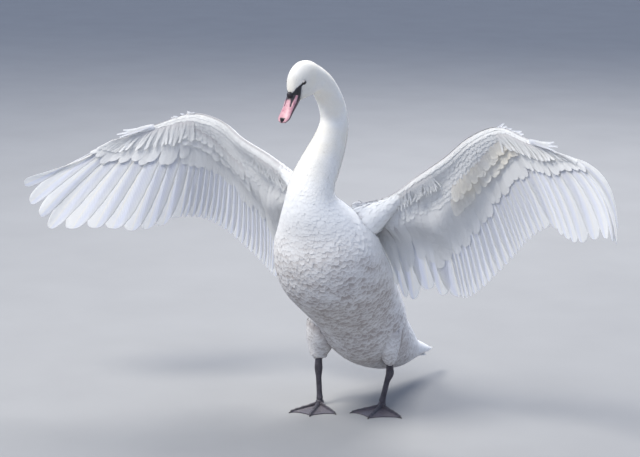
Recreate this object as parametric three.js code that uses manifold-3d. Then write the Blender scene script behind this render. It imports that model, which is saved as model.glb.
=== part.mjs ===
// A mute swan, life size, standing upright with both wings raised and spread.
// Millimetres, +Z up. The bird faces -Y and its left side is on +X.
// The origin is on the floor, under the middle of the model.

import * as THREE from "three";
import { mergeVertices } from "three/addons/utils/BufferGeometryUtils.js";
import Module from "manifold-3d";

const wasm = await Module();
wasm.setup();

const seam = 0.3; // gap between neighbouring solids
const vec = (x, y, z) => new THREE.Vector3(x, y, z);
const clamp = THREE.MathUtils.clamp;
const lerp = THREE.MathUtils.lerp;
const smoothstep = THREE.MathUtils.smoothstep;

// ---------------------------------------------------------------- materials

const finish = (color, roughness) => new THREE.MeshStandardMaterial({ color, roughness, metalness: 0 });
const plumage = finish(0xf1f0ec, 0.85);
const flightFeather = finish(0xf4f4f6, 0.8);
const pinkHorn = finish(0xd98d86, 0.4);
const blackHorn = finish(0x1d1b1c, 0.45);
const legSkin = finish(0x3b3a3e, 0.6);
const clawHorn = finish(0x26242a, 0.5);
const eyeball = finish(0x1a100b, 0.1);

const swan = new THREE.Group();

function addNode(name, geometry, material) {
  const mesh = new THREE.Mesh(geometry, material);
  mesh.name = name;
  swan.add(mesh);
}

// ------------------------------------------------------------ shape helpers

// Catmull-Rom interpolation through rows of numbers, from u = 0 at the first row.
function between(rows, u) {
  const last = rows.length - 1;
  const i = clamp(Math.floor(u), 0, last - 1);
  const f = u - i;
  const [a, b, c, d] = [-1, 0, 1, 2].map((step) => rows[clamp(i + step, 0, last)]);
  return b.map((_, k) => {
    const slope = c[k] - a[k];
    const bend = 2 * a[k] - 5 * b[k] + 4 * c[k] - d[k];
    const twist = 3 * b[k] - a[k] - 3 * c[k] + d[k];
    return b[k] + 0.5 * f * (slope + f * (bend + f * twist));
  });
}

// A closed geometry from shared points and faces, turned so that its faces point out.
function closedGeometry(points, faces) {
  let volume = 0;
  for (let k = 0; k < faces.length; k += 3) {
    const [a, b, c] = [faces[k], faces[k + 1], faces[k + 2]].map((n) => points[n]);
    volume += a.dot(b.clone().cross(c));
  }
  const outward = volume < 0 ? faces.toReversed() : faces;
  return new THREE.BufferGeometry().setFromPoints(points).setIndex(outward);
}

// A solid skin over rings of points, closed by a fan at each end.
function loft(rings) {
  const count = rings[0].length;
  const points = rings.flat();
  const faces = [];
  for (let r = 0; r + 1 < rings.length; r++) {
    for (let k = 0; k < count; k++) {
      const a = r * count + k;
      const b = r * count + ((k + 1) % count);
      faces.push(a, b, a + count, b, b + count, a + count);
    }
  }
  const ends = [rings[0], rings[rings.length - 1]];
  ends.forEach((ring, which) => {
    const middle = ring.reduce((sum, p) => sum.add(p), vec(0, 0, 0)).divideScalar(count);
    const first = which * (rings.length - 1) * count;
    points.push(middle);
    for (let k = 0; k < count; k++) {
      const pair = [first + k, first + ((k + 1) % count)];
      faces.push(points.length - 1, ...(which ? pair : pair.reverse()));
    }
  });
  return closedGeometry(points, faces);
}

// One ring of a loft: an oval round centre, with its own height above and below.
function oval(centre, side, up, halfWidth, above, below, count) {
  const ring = [];
  for (let k = 0; k < count; k++) {
    const angle = (2 * Math.PI * k) / count;
    const height = Math.sin(angle) >= 0 ? above : below;
    const offset = side.clone().multiplyScalar(Math.cos(angle) * halfWidth);
    ring.push(centre.clone().add(offset).addScaledVector(up, Math.sin(angle) * height));
  }
  return ring;
}

// A round limb through stations [x, y, z, radius], with rings square to the path.
// Grow widens it and lengthens it at both ends.
function limb(stations, count, ringsPerSpan, grow = 0) {
  const rings = [];
  const spans = stations.length - 1;
  const steps = spans * ringsPerSpan;
  for (let k = 0; k <= steps; k++) {
    const u = k / ringsPerSpan;
    const [x, y, z, radius] = between(stations, u);
    const ahead = between(stations, Math.min(u + 0.05, spans));
    const behind = between(stations, Math.max(u - 0.05, 0));
    const along = vec(ahead[0] - behind[0], ahead[1] - behind[1], ahead[2] - behind[2]).normalize();
    const side = vec(1, 0, 0).addScaledVector(along, -along.x).normalize();
    const up = along.clone().cross(side);
    const end = k === 0 ? -grow : k === steps ? grow : 0;
    const centre = vec(x, y, z).addScaledVector(along, end);
    rings.push(oval(centre, side, up, radius + grow, radius + grow, radius + grow, count));
  }
  return loft(rings);
}

function ellipsoid(centre, radii, tiltX = 0, segments = 16) {
  return new THREE.SphereGeometry(1, segments, segments / 2)
    .scale(...radii)
    .rotateX(tiltX)
    .translate(centre.x, centre.y, centre.z);
}

// ------------------------------------------------------------------ booleans

function toSolid(geometry) {
  const bare = geometry.clone();
  bare.deleteAttribute("normal");
  bare.deleteAttribute("uv");
  const merged = mergeVertices(bare, 1e-4);
  const vertProperties = merged.attributes.position.array;
  const triVerts = new Uint32Array(merged.index.array);
  return new wasm.Manifold(new wasm.Mesh({ numProp: 3, vertProperties, triVerts }));
}

function toGeometry(solid) {
  const { vertProperties, triVerts } = solid.getMesh();
  return new THREE.BufferGeometry()
    .setAttribute("position", new THREE.BufferAttribute(new Float32Array(vertProperties), 3))
    .setIndex(new THREE.BufferAttribute(new Uint32Array(triVerts), 1));
}

const join = (first, ...others) => others.reduce((sum, g) => sum.add(toSolid(g)), toSolid(first));
const cutBy = (solid, ...tools) => tools.reduce((left, g) => left.subtract(toSolid(g)), solid);

// The biggest piece of a solid that a cut has left in several.
function largest(solid) {
  return solid.decompose().reduce((best, part) => (part.volume() > best.volume() ? part : best));
}

// ------------------------------------------------------ head, neck and trunk

// Sections square to the spine, from inside the skull to the tail's root:
// y, z, half width, depth on the back's side, depth on the belly's side.
const spine = [
  [-262, 1043, 30, 30, 28],
  [-240, 1034, 34, 36, 36],
  [-212, 1014, 37, 35, 38], // nape
  [-173, 962, 39, 39, 39],
  [-156, 907, 41, 44, 41], // narrowest bend of the neck
  [-176, 853, 48, 54, 48],
  [-220, 797, 58, 62, 57],
  [-266, 742, 66, 66, 64],
  [-277, 689, 80, 71, 72], // neck meets the breast
  [-250, 630, 118, 90, 100],
  [-205, 555, 160, 128, 145],
  [-165, 470, 172, 144, 152], // widest part of the breast
  [-104, 403, 162, 144, 140],
  [-40, 332, 141, 138, 130],
  [19, 256, 130, 134, 128],
  [98, 197, 102, 108, 106], // vent
  [199, 144, 66, 78, 74],
  [272, 114, 42, 44, 38], // tail root
];
// The skull, in the same way, from the base of the bill to the back of the head.
const skull = [
  [-367, 998, 18, 20, 23], // base of the bill
  [-355, 1014, 25, 33, 35], // lores
  [-338, 1030, 31, 51, 47], // eyes
  [-316, 1042, 34, 56, 50],
  [-288, 1046, 35, 50, 50], // crown and throat
  [-262, 1043, 33, 39, 44],
  [-244, 1037, 26, 28, 30],
];
const bodySides = 16;

// The ring at station u of a row of sections, widened by grow.
function sectionRing(sections, u, grow) {
  const [y, z, halfWidth, above, below] = between(sections, u);
  const ahead = between(sections, Math.min(u + 0.05, sections.length - 1));
  const behind = between(sections, Math.max(u - 0.05, 0));
  const along = vec(0, ahead[0] - behind[0], ahead[1] - behind[1]).normalize();
  const back = vec(0, -along.z, along.y);
  const sizes = [halfWidth + grow, above + grow, below + grow];
  return oval(vec(0, y, z), vec(1, 0, 0), back, ...sizes, bodySides);
}

// A length of the body between two stations. Each end is drawn in by half a seam, or let out by grow.
function bodyLength(sections, from, to, ringCount, grow = 0) {
  const rings = [];
  for (let k = 0; k <= ringCount; k++) {
    rings.push(sectionRing(sections, lerp(from, to, k / ringCount), grow));
  }
  const moveEnd = (ring, next) => {
    const inward = next[0].clone().sub(ring[0]).setLength(seam / 2 - grow);
    ring.forEach((p) => p.add(inward));
  };
  moveEnd(rings[0], rings[1]);
  moveEnd(rings[ringCount], rings[ringCount - 1]);
  return loft(rings);
}

// Name, first station, last station, number of spans.
const lengths = {
  headEnd: [0, 2.3, 3],
  neck_upper: [2.3, 4.3, 5],
  neck_middle: [4.3, 6.6, 5],
  neck_lower: [6.6, 8.6, 4],
  trunk: [8.6, 16.3, 13],
  rump: [16.3, 17, 1],
};
const trunkTools = [
  bodyLength(spine, ...lengths.neck_lower, seam),
  bodyLength(spine, ...lengths.trunk, seam),
];

// -------------------------------------------------------------- eyes and bill

const eye = { x: 28.5, y: -350, z: 1042.5, radius: 6.4 };

function eyeBall(side, grow) {
  const radius = eye.radius + grow;
  return ellipsoid(vec(side * eye.x, eye.y, eye.z), [radius, radius, radius], 0, 10);
}

const bill = { base: vec(0, -366, 998), tip: vec(0, -421, 935), gap: 4.4 };
const billAlong = bill.tip.clone().sub(bill.base).normalize();
const billUp = vec(0, billAlong.z, -billAlong.y);
// Share of the bill's length, half width, height above the axis, depth below it.
const upperBill = [
  [-0.04, 19, 19, 3],
  [0.15, 18.5, 16, 3],
  [0.4, 18, 11, 3],
  [0.65, 18.5, 7.5, 3],
  [0.85, 18.5, 6, 3],
  [0.97, 12.5, 4, 2.5],
  [1.01, 5, 2, 1.5],
];
const lowerBill = [
  [-0.04, 16, 1, 20],
  [0.2, 16, 1, 17],
  [0.5, 16, 1, 12.5],
  [0.8, 16, 1, 8.5],
  [0.95, 9.5, 0.7, 4.5],
];

function billHalf(rows, drop) {
  const rings = rows.map(([share, halfWidth, above, below]) => {
    const centre = bill.base.clone().lerp(bill.tip, share).addScaledVector(billUp, -drop);
    return oval(centre, vec(1, 0, 0), billUp, halfWidth, above, below, 14);
  });
  return loft(rings);
}

const hornTilt = 0.8; // turn of the knob and the nail about X
const knobCentre = bill.base.clone().addScaledVector(billUp, 17).addScaledVector(billAlong, 3);
const knob = (grow) => ellipsoid(knobCentre, [9 + grow, 9 + grow, 11.5 + grow], hornTilt, 12);
const nailCentre = bill.tip.clone().addScaledVector(billAlong, -6).addScaledVector(billUp, 2);
const nail = (grow) => ellipsoid(nailCentre, [6 + grow, 3.6 + grow, 8 + grow], hornTilt, 10);

const skullSolid = join(
  bodyLength(skull, 0, skull.length - 1, 8),
  bodyLength(spine, ...lengths.headEnd),
);
const faceTool = bodyLength(skull, 0, 2, 3, seam);
const headSolid = cutBy(skullSolid, eyeBall(1, seam), eyeBall(-1, seam), knob(seam));
const upperHorn = cutBy(join(billHalf(upperBill, 0)), faceTool, knob(seam), nail(seam));
const lowerHorn = cutBy(join(billHalf(lowerBill, bill.gap)), faceTool, nail(seam));
addNode("head", toGeometry(headSolid), plumage);
addNode("bill_upper", toGeometry(upperHorn), pinkHorn);
addNode("bill_lower", toGeometry(lowerHorn), pinkHorn);
addNode("bill_knob", knob(0), blackHorn);
addNode("bill_nail", nail(0), blackHorn);
addNode("eye_left", eyeBall(1, 0), eyeball);
addNode("eye_right", eyeBall(-1, 0), eyeball);
for (const name of ["neck_upper", "neck_middle", "neck_lower", "trunk"]) {
  addNode(name, bodyLength(spine, ...lengths[name]), plumage);
}

// ----------------------------------------------------------------------- legs

// Each thigh runs through stations [x, y, z, radius]. Toes point so many degrees to the bird's left.
const legs = {
  left: {
    thigh: [[78, 0, 255, 62], [92, 0, 205, 42], [98, 2, 172, 27], [97, 6, 152, 19]],
    hock: vec(88, 20, 113),
    sole: vec(70, 6, 0),
    toes: { inner: -24, middle: 13, outer: 60 },
  },
  right: {
    thigh: [[-96, -46, 268, 64], [-108, -54, 213, 52], [-116, -60, 170, 32], [-116, -62, 152, 25]],
    hock: vec(-113, -71, 119),
    sole: vec(-104, -76, 0),
    toes: { inner: 59, middle: 20, outer: -13 },
  },
};
const toeSizes = { inner: [108, 6], middle: [120, 7], outer: [120, 6.5] }; // length, half width
const web = { thickness: 3.5, hollow: 0.16 };
const clawLength = 10;
const kneeTuck = 14; // how far the shank reaches up into the thigh

function legParts(name, leg) {
  const [kneeX, kneeY, kneeZ] = leg.thigh[leg.thigh.length - 1];
  const ankle = leg.sole.clone().setZ(16);
  const shankPoint = (share, radius) => [...leg.hock.clone().lerp(ankle, share).toArray(), radius];
  const stations = [
    [kneeX, kneeY, kneeZ + kneeTuck, 9],
    [leg.hock.x, leg.hock.y + 2, leg.hock.z + 10, 12],
    [leg.hock.x, leg.hock.y + 2, leg.hock.z - 7, 13],
    shankPoint(0.35, 9.5),
    shankPoint(0.8, 9),
    shankPoint(0.97, 11),
  ];
  const shank = (grow) => limb(stations, 8, 2, grow);
  const thigh = (grow) => limb(leg.thigh, 12, 2, grow);
  addNode(`thigh_${name}`, toGeometry(largest(cutBy(join(thigh(0)), ...trunkTools))), plumage);
  addNode(`shank_${name}`, toGeometry(largest(cutBy(join(shank(0)), thigh(seam), ...trunkTools))), legSkin);

  // Each toe is a tapering half-round bar that lies flat on the floor, with a claw at its end.
  const heading = (degrees) => {
    const angle = THREE.MathUtils.degToRad(degrees);
    return vec(Math.sin(angle), -Math.cos(angle), 0);
  };
  const bar = (from, to, halfWidths, heights, sides) => {
    const along = to.clone().sub(from).normalize();
    const rings = halfWidths.map((halfWidth, k) => {
      const centre = from.clone().lerp(to, k / (halfWidths.length - 1));
      return oval(centre, vec(-along.y, along.x, 0), vec(0, 0, 1), halfWidth, heights[k], 0, sides);
    });
    return loft(rings);
  };
  const bars = [];
  const tips = [];
  for (const [toeName, degrees] of Object.entries(leg.toes)) {
    const [length, half] = toeSizes[toeName];
    const along = heading(degrees);
    const tip = leg.sole.clone().addScaledVector(along, length);
    const widths = [1.3, 0.95, 1, 0.8, 0.6].map((share) => share * half);
    const heights = [2.2, 1.7, 1.65, 1.4, 1.1].map((share) => share * half);
    bars.push(bar(leg.sole, tip, widths, heights, 8));
    tips.push(tip);
    const clawRoot = tip.clone().addScaledVector(along, seam);
    const clawTip = tip.clone().addScaledVector(along, clawLength);
    addNode(`claw_${name}_${toeName}`, bar(clawRoot, clawTip, [3.2, 2.4, 0.8], [6, 4.5, 1.2], 8), clawHorn);
  }

  // The web spans the toes, with a hollow front edge between each two.
  const outline = new THREE.Shape();
  const rear = leg.sole.clone().addScaledVector(heading(leg.toes.middle), -4);
  outline.moveTo(rear.x, rear.y);
  outline.lineTo(tips[0].x, tips[0].y);
  for (let k = 0; k + 1 < tips.length; k++) {
    const middle = tips[k].clone().add(tips[k + 1]).multiplyScalar(0.5).lerp(leg.sole, web.hollow);
    outline.quadraticCurveTo(middle.x, middle.y, tips[k + 1].x, tips[k + 1].y);
  }
  outline.closePath();
  const extrusion = { depth: web.thickness, bevelEnabled: false, curveSegments: 5 };
  const sheet = new THREE.ExtrudeGeometry(outline, extrusion);

  // The ball of the foot, and the small hind toe above the floor behind it.
  const ball = ellipsoid(ankle.clone().setZ(8), [13, 15, 13], 0, 10);
  const hind = (back, z, radius) => {
    const spot = ankle.clone().addScaledVector(heading(leg.toes.middle), -back);
    return [spot.x, spot.y, z, radius];
  };
  const hindToe = limb([hind(6, 17, 5.5), hind(19, 13, 4.5), hind(31, 7, 2.5)], 8, 1);
  const floorTool = new THREE.BoxGeometry(800, 800, 60).translate(0, 0, -30);
  const foot = cutBy(join(...bars, sheet, ball, hindToe), floorTool, shank(seam));
  addNode(`foot_${name}`, toGeometry(largest(foot)), legSkin);
}

// ----------------------------------------------------------------------- wings

// Feathers are counted from the body outwards: tertials, secondaries, then primaries.
const feathers = { tertials: 5, secondaries: 20, primaries: 10 };
const featherCount = feathers.tertials + feathers.secondaries + feathers.primaries;
const elbowAt = feathers.tertials;
const wristAt = feathers.tertials + feathers.secondaries;

// Leading edge [feather number, x, y, z] and feather tips, for each wing, and the fleshy shoulder
// [x, y, z, radius] that joins it to the back. x is away from the body.
const wings = {
  left: {
    side: 1,
    edge: [
      [0, 40, -95, 650], [2.5, 165, -110, 692], [5, 262, -114, 762], [12, 352, -116, 826],
      [18, 432, -118, 892], [25, 525, -118, 930], [29, 636, -155, 912], [35, 762, -214, 892],
    ],
    tips: [
      [0, 96, -50, 470], [0.5, 150, -55, 420], [1.5, 180, -44, 376], [2.5, 206, -32, 370],
      [3.5, 250, -20, 404], [4.5, 290, -12, 390], [5.5, 346, -10, 392], [7.5, 374, -10, 393],
      [10.5, 417, -10, 422], [13.5, 470, -15, 475], [16.5, 540, -40, 541], [20.5, 607, -90, 603],
      [24.5, 705, -165, 670],
      [25.5, 763, -218, 686], [26.5, 790, -238, 676], [27.5, 822, -260, 672], [28.5, 852, -280, 670],
      [29.5, 887, -300, 678], [30.5, 945, -345, 702], [31.5, 988, -370, 714], [32.5, 1010, -374, 710],
      [33.5, 1016, -364, 702], [34.5, 1024, -376, 750], [35, 1022, -378, 770],
    ],
    shoulder: [[52, -106, 598, 50], [118, -104, 634, 37], [176, -101, 674, 22], [236, -104, 726, 11]],
    alula: [[618, -158, 910], [758, -222, 904]],
    outerBow: 0.22,
  },
  right: {
    side: -1,
    edge: [
      [0, 40, -95, 640], [2.5, 165, -110, 712], [5, 262, -116, 768], [12, 360, -120, 812],
      [18, 440, -120, 860], [25, 548, -122, 874], [29, 640, -152, 842], [35, 768, -222, 782],
    ],
    tips: [
      [0, 110, 0, 400], [0.5, 165, 20, 362], [2.5, 275, 46, 340], [4.5, 351, 35, 352], [7.5, 384, 40, 374],
      [10.5, 426, 35, 408], [13.5, 474, 25, 446], [16.5, 522, 0, 490], [20.5, 563, -50, 527],
      [24.5, 601, -125, 540], [25.5, 634, -170, 518], [26.5, 665, -210, 510], [27.5, 698, -246, 507],
      [28.5, 750, -278, 513], [29.5, 794, -308, 515], [30.5, 861, -338, 510], [31.5, 930, -365, 508],
      [32.5, 956, -378, 549], [33.5, 990, -385, 587], [34.5, 1006, -390, 645], [35, 1008, -391, 668],
    ],
    shoulder: [[52, -106, 598, 50], [118, -104, 642, 38], [176, -102, 692, 23], [236, -106, 740, 12]],
    alula: [[625, -160, 842], [754, -224, 796]],
    outerBow: 0.1,
  },
};

// Value at a feather number, read from rows that start with one.
function atFeather(rows, number) {
  let k = 0;
  while (k < rows.length - 2 && number > rows[k + 1][0]) k++;
  const u = k + (number - rows[k][0]) / (rows[k + 1][0] - rows[k][0]);
  return vec(...between(rows, clamp(u, 0, rows.length - 1)).slice(1));
}

// How far the gap beside each feather cuts in from the tips, in mm.
function notchDepth(number) {
  if (number >= wristAt) return lerp(20, 78, clamp((number - wristAt - 4) / 4, 0, 1));
  if (number <= 1) return 26;
  if (number < elbowAt) return 32;
  return number < elbowAt + 0.5 ? 60 : 13;
}

// Half thickness of the wing at a feather number and a share of the way to the trailing edge.
function halfThickness(number, share) {
  const outward = number / featherCount;
  const edgeRadius = lerp(26, 8, smoothstep(outward, 0.05, 0.85));
  const armShare = clamp((number - elbowAt) / 18, 0, 1);
  const boneAt = number < elbowAt ? lerp(0.12, 0.4, number / elbowAt) : lerp(0.4, 0.08, armShare);
  const boneRadius = lerp(30, 7, smoothstep(outward, 0, 1));
  const edge = edgeRadius * Math.exp(-share / 0.22) * Math.min(1, Math.sqrt(share / 0.07 + 0.06));
  const bone = boneRadius * Math.exp(-(((share - boneAt) / 0.16) ** 2));
  const vane = lerp(3.4, 1.2, share);
  return Math.max(vane, Math.hypot(edge, bone * Math.min(1, share / 0.06)));
}

const alulaSections = [[0, 8, 8], [0.35, 13, 7], [0.9, 11, 3], [1, 6, 1.2]];
const shareRows = [0, 0.08, 0.28, 0.62, 1];

// One part of a wing between two feather numbers, as a cambered plate with a scalloped edge.
function wingPlate(wing, from, to, columnsPerFeather, grow = 0) {
  const columns = Math.round((to - from) * columnsPerFeather);
  const upper = [];
  const lower = [];
  const inset = grow ? 0 : 0.02;
  for (let c = 0; c <= columns; c++) {
    const number = clamp(lerp(from, to, c / columns), from + inset, to - inset);
    const phase = Math.abs(2 * (number - Math.floor(number)) - 1);
    const root = atFeather(wing.edge, number);
    const tip = atFeather(wing.tips, number);
    const chord = tip.clone().sub(root);
    const spanwise = atFeather(wing.edge, Math.min(number + 0.5, featherCount)).sub(
      atFeather(wing.edge, Math.max(number - 0.5, 0)),
    );
    const dorsal = spanwise.clone().cross(chord).normalize();
    const outwards = chord.clone().cross(dorsal).normalize();
    const cut = (notchDepth(number) * phase ** 2.2) / chord.length();
    const bow = wing.outerBow * smoothstep(number, wristAt, featherCount) + 0.03;
    const control = root.clone().add(tip).multiplyScalar(0.5);
    control.addScaledVector(outwards, bow * chord.length());
    control.addScaledVector(dorsal, 0.1 * chord.length());
    const shaft = new THREE.QuadraticBezierCurve3(root, control, tip);
    shareRows.forEach((share) => {
      const reach = share * (1 - cut * smoothstep(share, 0.3, 1));
      const point = shaft.getPoint(reach);
      const half = halfThickness(number, share) + grow;
      upper.push(point.clone().addScaledVector(dorsal, half));
      lower.push(point.clone().addScaledVector(dorsal, -half));
    });
  }
  return plate(upper, lower, columns + 1, shareRows.length, wing.side);
}

// A closed plate between two grids of points.
function plate(upper, lower, columns, rows, side) {
  const points = [...upper, ...lower].map((p) => vec(p.x * side, p.y, p.z));
  const faces = [];
  const half = upper.length;
  const quad = (a, b, c, d) => faces.push(a, b, c, a, c, d);
  for (let c = 0; c + 1 < columns; c++) {
    for (let r = 0; r + 1 < rows; r++) {
      const a = c * rows + r;
      quad(a, a + rows, a + rows + 1, a + 1);
      quad(half + a, half + a + 1, half + a + rows + 1, half + a + rows);
    }
    const front = c * rows;
    const back = front + rows - 1;
    quad(front + half, front + half + rows, front + rows, front);
    quad(back, back + rows, back + half + rows, back + half);
  }
  for (let r = 0; r + 1 < rows; r++) {
    const last = (columns - 1) * rows + r;
    quad(r, r + 1, r + half + 1, r + half);
    quad(last + 1, last, last + half, last + half + 1);
  }
  return closedGeometry(points, faces);
}

// The alula: a flat blade of a few feathers on the leading edge, from the wrist outwards.
function alulaBlade(wing) {
  const [from, to] = wing.alula.map((place) => vec(wing.side * place[0], place[1], place[2]));
  const along = to.clone().sub(from).normalize();
  const rings = alulaSections.map(([share, halfWidth, halfDepth]) => {
    const centre = from.clone().lerp(to, share);
    const up = vec(0, 0, 1).addScaledVector(along, -along.z).normalize();
    return oval(centre, up, along.clone().cross(up), halfWidth, halfDepth, halfDepth, 6);
  });
  return loft(rings);
}

function wingParts(name, wing) {
  const shoulder = limb(wing.shoulder.map(([x, y, z, radius]) => [wing.side * x, y, z, radius]), 12, 2);
  const upperArm = cutBy(join(wingPlate(wing, 0, elbowAt, 2), shoulder), ...trunkTools);
  addNode(`wing_${name}_upper_arm`, toGeometry(largest(upperArm)), flightFeather);
  addNode(`wing_${name}_forearm`, wingPlate(wing, elbowAt, wristAt, 2), flightFeather);
  const hand = join(wingPlate(wing, wristAt, featherCount, 4), alulaBlade(wing));
  addNode(`wing_${name}_hand`, toGeometry(hand), flightFeather);
}

for (const [name, wing] of Object.entries(wings)) wingParts(name, wing);
for (const [name, leg] of Object.entries(legs)) legParts(name, leg);

// ------------------------------------------------------------------------ tail

// The closed tail: a wedge of feathers, with the covert feathers round its root.
const tail = {
  feathers: 12,
  root: vec(0, 258, 118),
  rootHalfWidth: 20,
  halfSpread: 8, // degrees
  length: 166,
  sideLength: 110,
  droop: 0.22,
  drape: 12, // how far the sides hang below the middle
};

function tailFan() {
  const columns = tail.feathers * 2;
  const upper = [];
  const lower = [];
  const rows = [0, 0.4, 0.75, 1];
  for (let c = 0; c <= columns; c++) {
    const across = lerp(-1, 1, c / columns);
    const angle = THREE.MathUtils.degToRad(tail.halfSpread * across);
    const scallop = c % 2 ? 0 : 10;
    const length = lerp(tail.length, tail.sideLength, Math.abs(across) ** 1.3) - scallop;
    const along = vec(Math.sin(angle), Math.cos(angle), -tail.droop).normalize();
    rows.forEach((share) => {
      const middle = tail.root.clone().addScaledVector(along, length * share);
      middle.x += across * tail.rootHalfWidth;
      middle.z -= tail.drape * across ** 2;
      const half = lerp(36, 1.4, share ** 0.9) * lerp(1, 0.55, Math.abs(across));
      upper.push(middle.clone().setZ(middle.z + half));
      lower.push(middle.clone().setZ(middle.z - half));
    });
  }
  return plate(upper, lower, columns + 1, rows.length, 1);
}

const rump = bodyLength(spine, ...lengths.rump);
addNode("tail", toGeometry(largest(cutBy(join(rump, tailFan()), trunkTools[1]))), flightFeather);

export default swan;
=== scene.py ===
# A mute swan standing with its wings raised and spread: its skin, coat, bill, eyes and legs.
import math
import bmesh
import bpy
import numpy as np
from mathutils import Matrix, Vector
from mathutils.bvhtree import BVHTree
from mathutils.kdtree import KDTree


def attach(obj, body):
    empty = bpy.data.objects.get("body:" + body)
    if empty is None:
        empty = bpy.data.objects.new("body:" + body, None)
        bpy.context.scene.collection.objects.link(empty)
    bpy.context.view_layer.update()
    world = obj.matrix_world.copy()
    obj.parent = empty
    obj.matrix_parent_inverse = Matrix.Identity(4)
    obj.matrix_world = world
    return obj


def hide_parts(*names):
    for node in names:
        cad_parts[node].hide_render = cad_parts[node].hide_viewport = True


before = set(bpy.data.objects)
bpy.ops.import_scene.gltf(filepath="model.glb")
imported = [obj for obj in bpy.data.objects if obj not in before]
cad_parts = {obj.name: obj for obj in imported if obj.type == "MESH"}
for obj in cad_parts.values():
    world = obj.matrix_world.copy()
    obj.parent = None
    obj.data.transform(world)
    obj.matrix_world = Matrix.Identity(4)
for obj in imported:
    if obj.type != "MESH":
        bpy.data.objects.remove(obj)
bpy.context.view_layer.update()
mm = 0.001  # the tables below are in millimetres, Blender is in metres
full = 2 * math.pi  # once round
sideSign = {"left": 1, "right": -1}  # the bird faces -Y and its left is on +X

# ---- small helpers: curves and meshes


def mix(a, b, share):
    return a + (b - a) * share


def smooth(x, low, high):
    t = np.clip((np.asarray(x, float) - low) / (high - low), 0, 1)
    return t * t * (3 - 2 * t)


def unit(v):
    return v / np.maximum(np.linalg.norm(v, axis=-1, keepdims=True), 1e-9)


def along(rows, u):  # smooth curve through rows, u = 0 at the first of them
    rows = np.asarray(rows, float)
    last = len(rows) - 1
    u = np.clip(np.asarray(u, float), 0, last)
    i = np.clip(np.floor(u).astype(int), 0, last - 1)
    f = (u - i)[..., None]
    a, b, c, d = (rows[np.clip(i + step, 0, last)] for step in (-1, 0, 1, 2))
    return b + 0.5 * f * (c - a + f * (2 * a - 5 * b + 4 * c - d + f * (3 * b - a - 3 * c + d)))


def sampled(rows, number):  # the same, for rows that start with a feather's number or a share of a length
    rows = np.asarray(rows, float)
    number = np.asarray(number, float)
    k = np.clip(np.searchsorted(rows[:, 0], number, side="right") - 1, 0, len(rows) - 2)
    return along(rows, k + (number - rows[k, 0]) / (rows[k + 1, 0] - rows[k, 0]))[..., 1:]


def around(sides):  # angles once round a ring
    return np.arange(sides) * full / sides


def sided(name):  # turns a place on the left into the same place on this side
    return np.array([sideSign[name], 1, 1])


def addObject(name, data):
    made = bpy.data.objects.new(name, data)
    bpy.context.scene.collection.objects.link(made)
    return made


def makeMesh(name, points, faces, material):
    mesh = bpy.data.meshes.new(name)
    faces = np.asarray(faces, np.int32)
    mesh.vertices.add(len(points))
    mesh.vertices.foreach_set("co", (np.asarray(points, float) * mm).astype(np.float32).ravel())
    mesh.loops.add(faces.size)
    mesh.loops.foreach_set("vertex_index", faces.ravel())
    mesh.polygons.add(len(faces))
    mesh.polygons.foreach_set("loop_start", np.arange(len(faces), dtype=np.int32) * faces.shape[1])
    mesh.update(calc_edges=True)
    mesh.validate()
    mesh.shade_smooth()
    mesh.materials.append(material)
    return addObject(name, mesh)


def addAttribute(piece, name, values):  # one number, or one vector, for each point
    values = np.asarray(values, np.float32)
    kind = "FLOAT_VECTOR" if values.ndim == 2 else "FLOAT"
    layer = piece.data.attributes.new(name, kind, "POINT")
    layer.data.foreach_set("vector" if values.ndim == 2 else "value", values.ravel())


def setMap(piece, places):  # the bake's map, from one place for each point
    layer = piece.data.uv_layers.new(name="OFBake")
    corners = np.empty(len(piece.data.loops), np.int32)
    piece.data.loops.foreach_get("vertex_index", corners)
    layer.data.foreach_set("uv", np.asarray(places, np.float32)[corners].ravel())


def ringFaces(count, sides):  # the faces between rings that follow each other
    r, k = np.meshgrid(np.arange(count - 1), np.arange(sides), indexing="ij")
    a = (r * sides + k).ravel()
    b = (r * sides + (k + 1) % sides).ravel()
    return np.stack([a, b, b + sides, a + sides], 1)


def tube(rings, closedEnds):  # points and faces of a surface over equal rings
    rings = np.asarray(rings, float)
    count, sides = rings.shape[:2]
    faces = ringFaces(count, sides)
    points = rings.reshape(-1, 3)
    if closedEnds:
        points = np.vstack([points, rings[0].mean(0), rings[-1].mean(0)])
        k = np.arange(sides)
        n = (k + 1) % sides
        middle = np.full(sides, len(points) - 2)
        last = (count - 1) * sides
        caps = np.stack([middle, n, k, k], 1), np.stack([middle + 1, last + k, last + n, last + n], 1)
        faces = np.vstack([faces, *caps])
    return points, faces


def closedForm(rings, closedEnds=True):  # a mesh over the rings, with its faces outwards
    points, faces = tube(rings, closedEnds)
    work = bmesh.new()
    verts = [work.verts.new(p) for p in points * mm]
    for face in faces:
        corners = list(dict.fromkeys(int(i) for i in face))
        work.faces.new([verts[i] for i in corners])
    bmesh.ops.recalc_face_normals(work, faces=work.faces)
    mesh = bpy.data.meshes.new("form")
    work.to_mesh(mesh)
    work.free()
    return mesh


def rework(mesh, change):  # opens a mesh, changes it and puts it back
    work = bmesh.new()
    work.from_mesh(mesh)
    change(work)
    work.to_mesh(mesh)
    work.free()


def ellipsoidRings(centre, radii, tiltX, sides):
    u = np.linspace(0.02, math.pi - 0.02, sides // 2)
    v = around(sides)
    points = np.empty((len(u), sides, 3))
    points[..., :2] = np.sin(u)[:, None, None] * np.stack([np.cos(v), np.sin(v)], -1)
    points[..., 2] = np.cos(u)[:, None]
    x, y, z = np.moveaxis(points * radii, -1, 0)
    c, s = math.cos(tiltX), math.sin(tiltX)
    return np.stack([x, c * y - s * z, s * y + c * z], -1) + np.asarray(centre, float)


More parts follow.
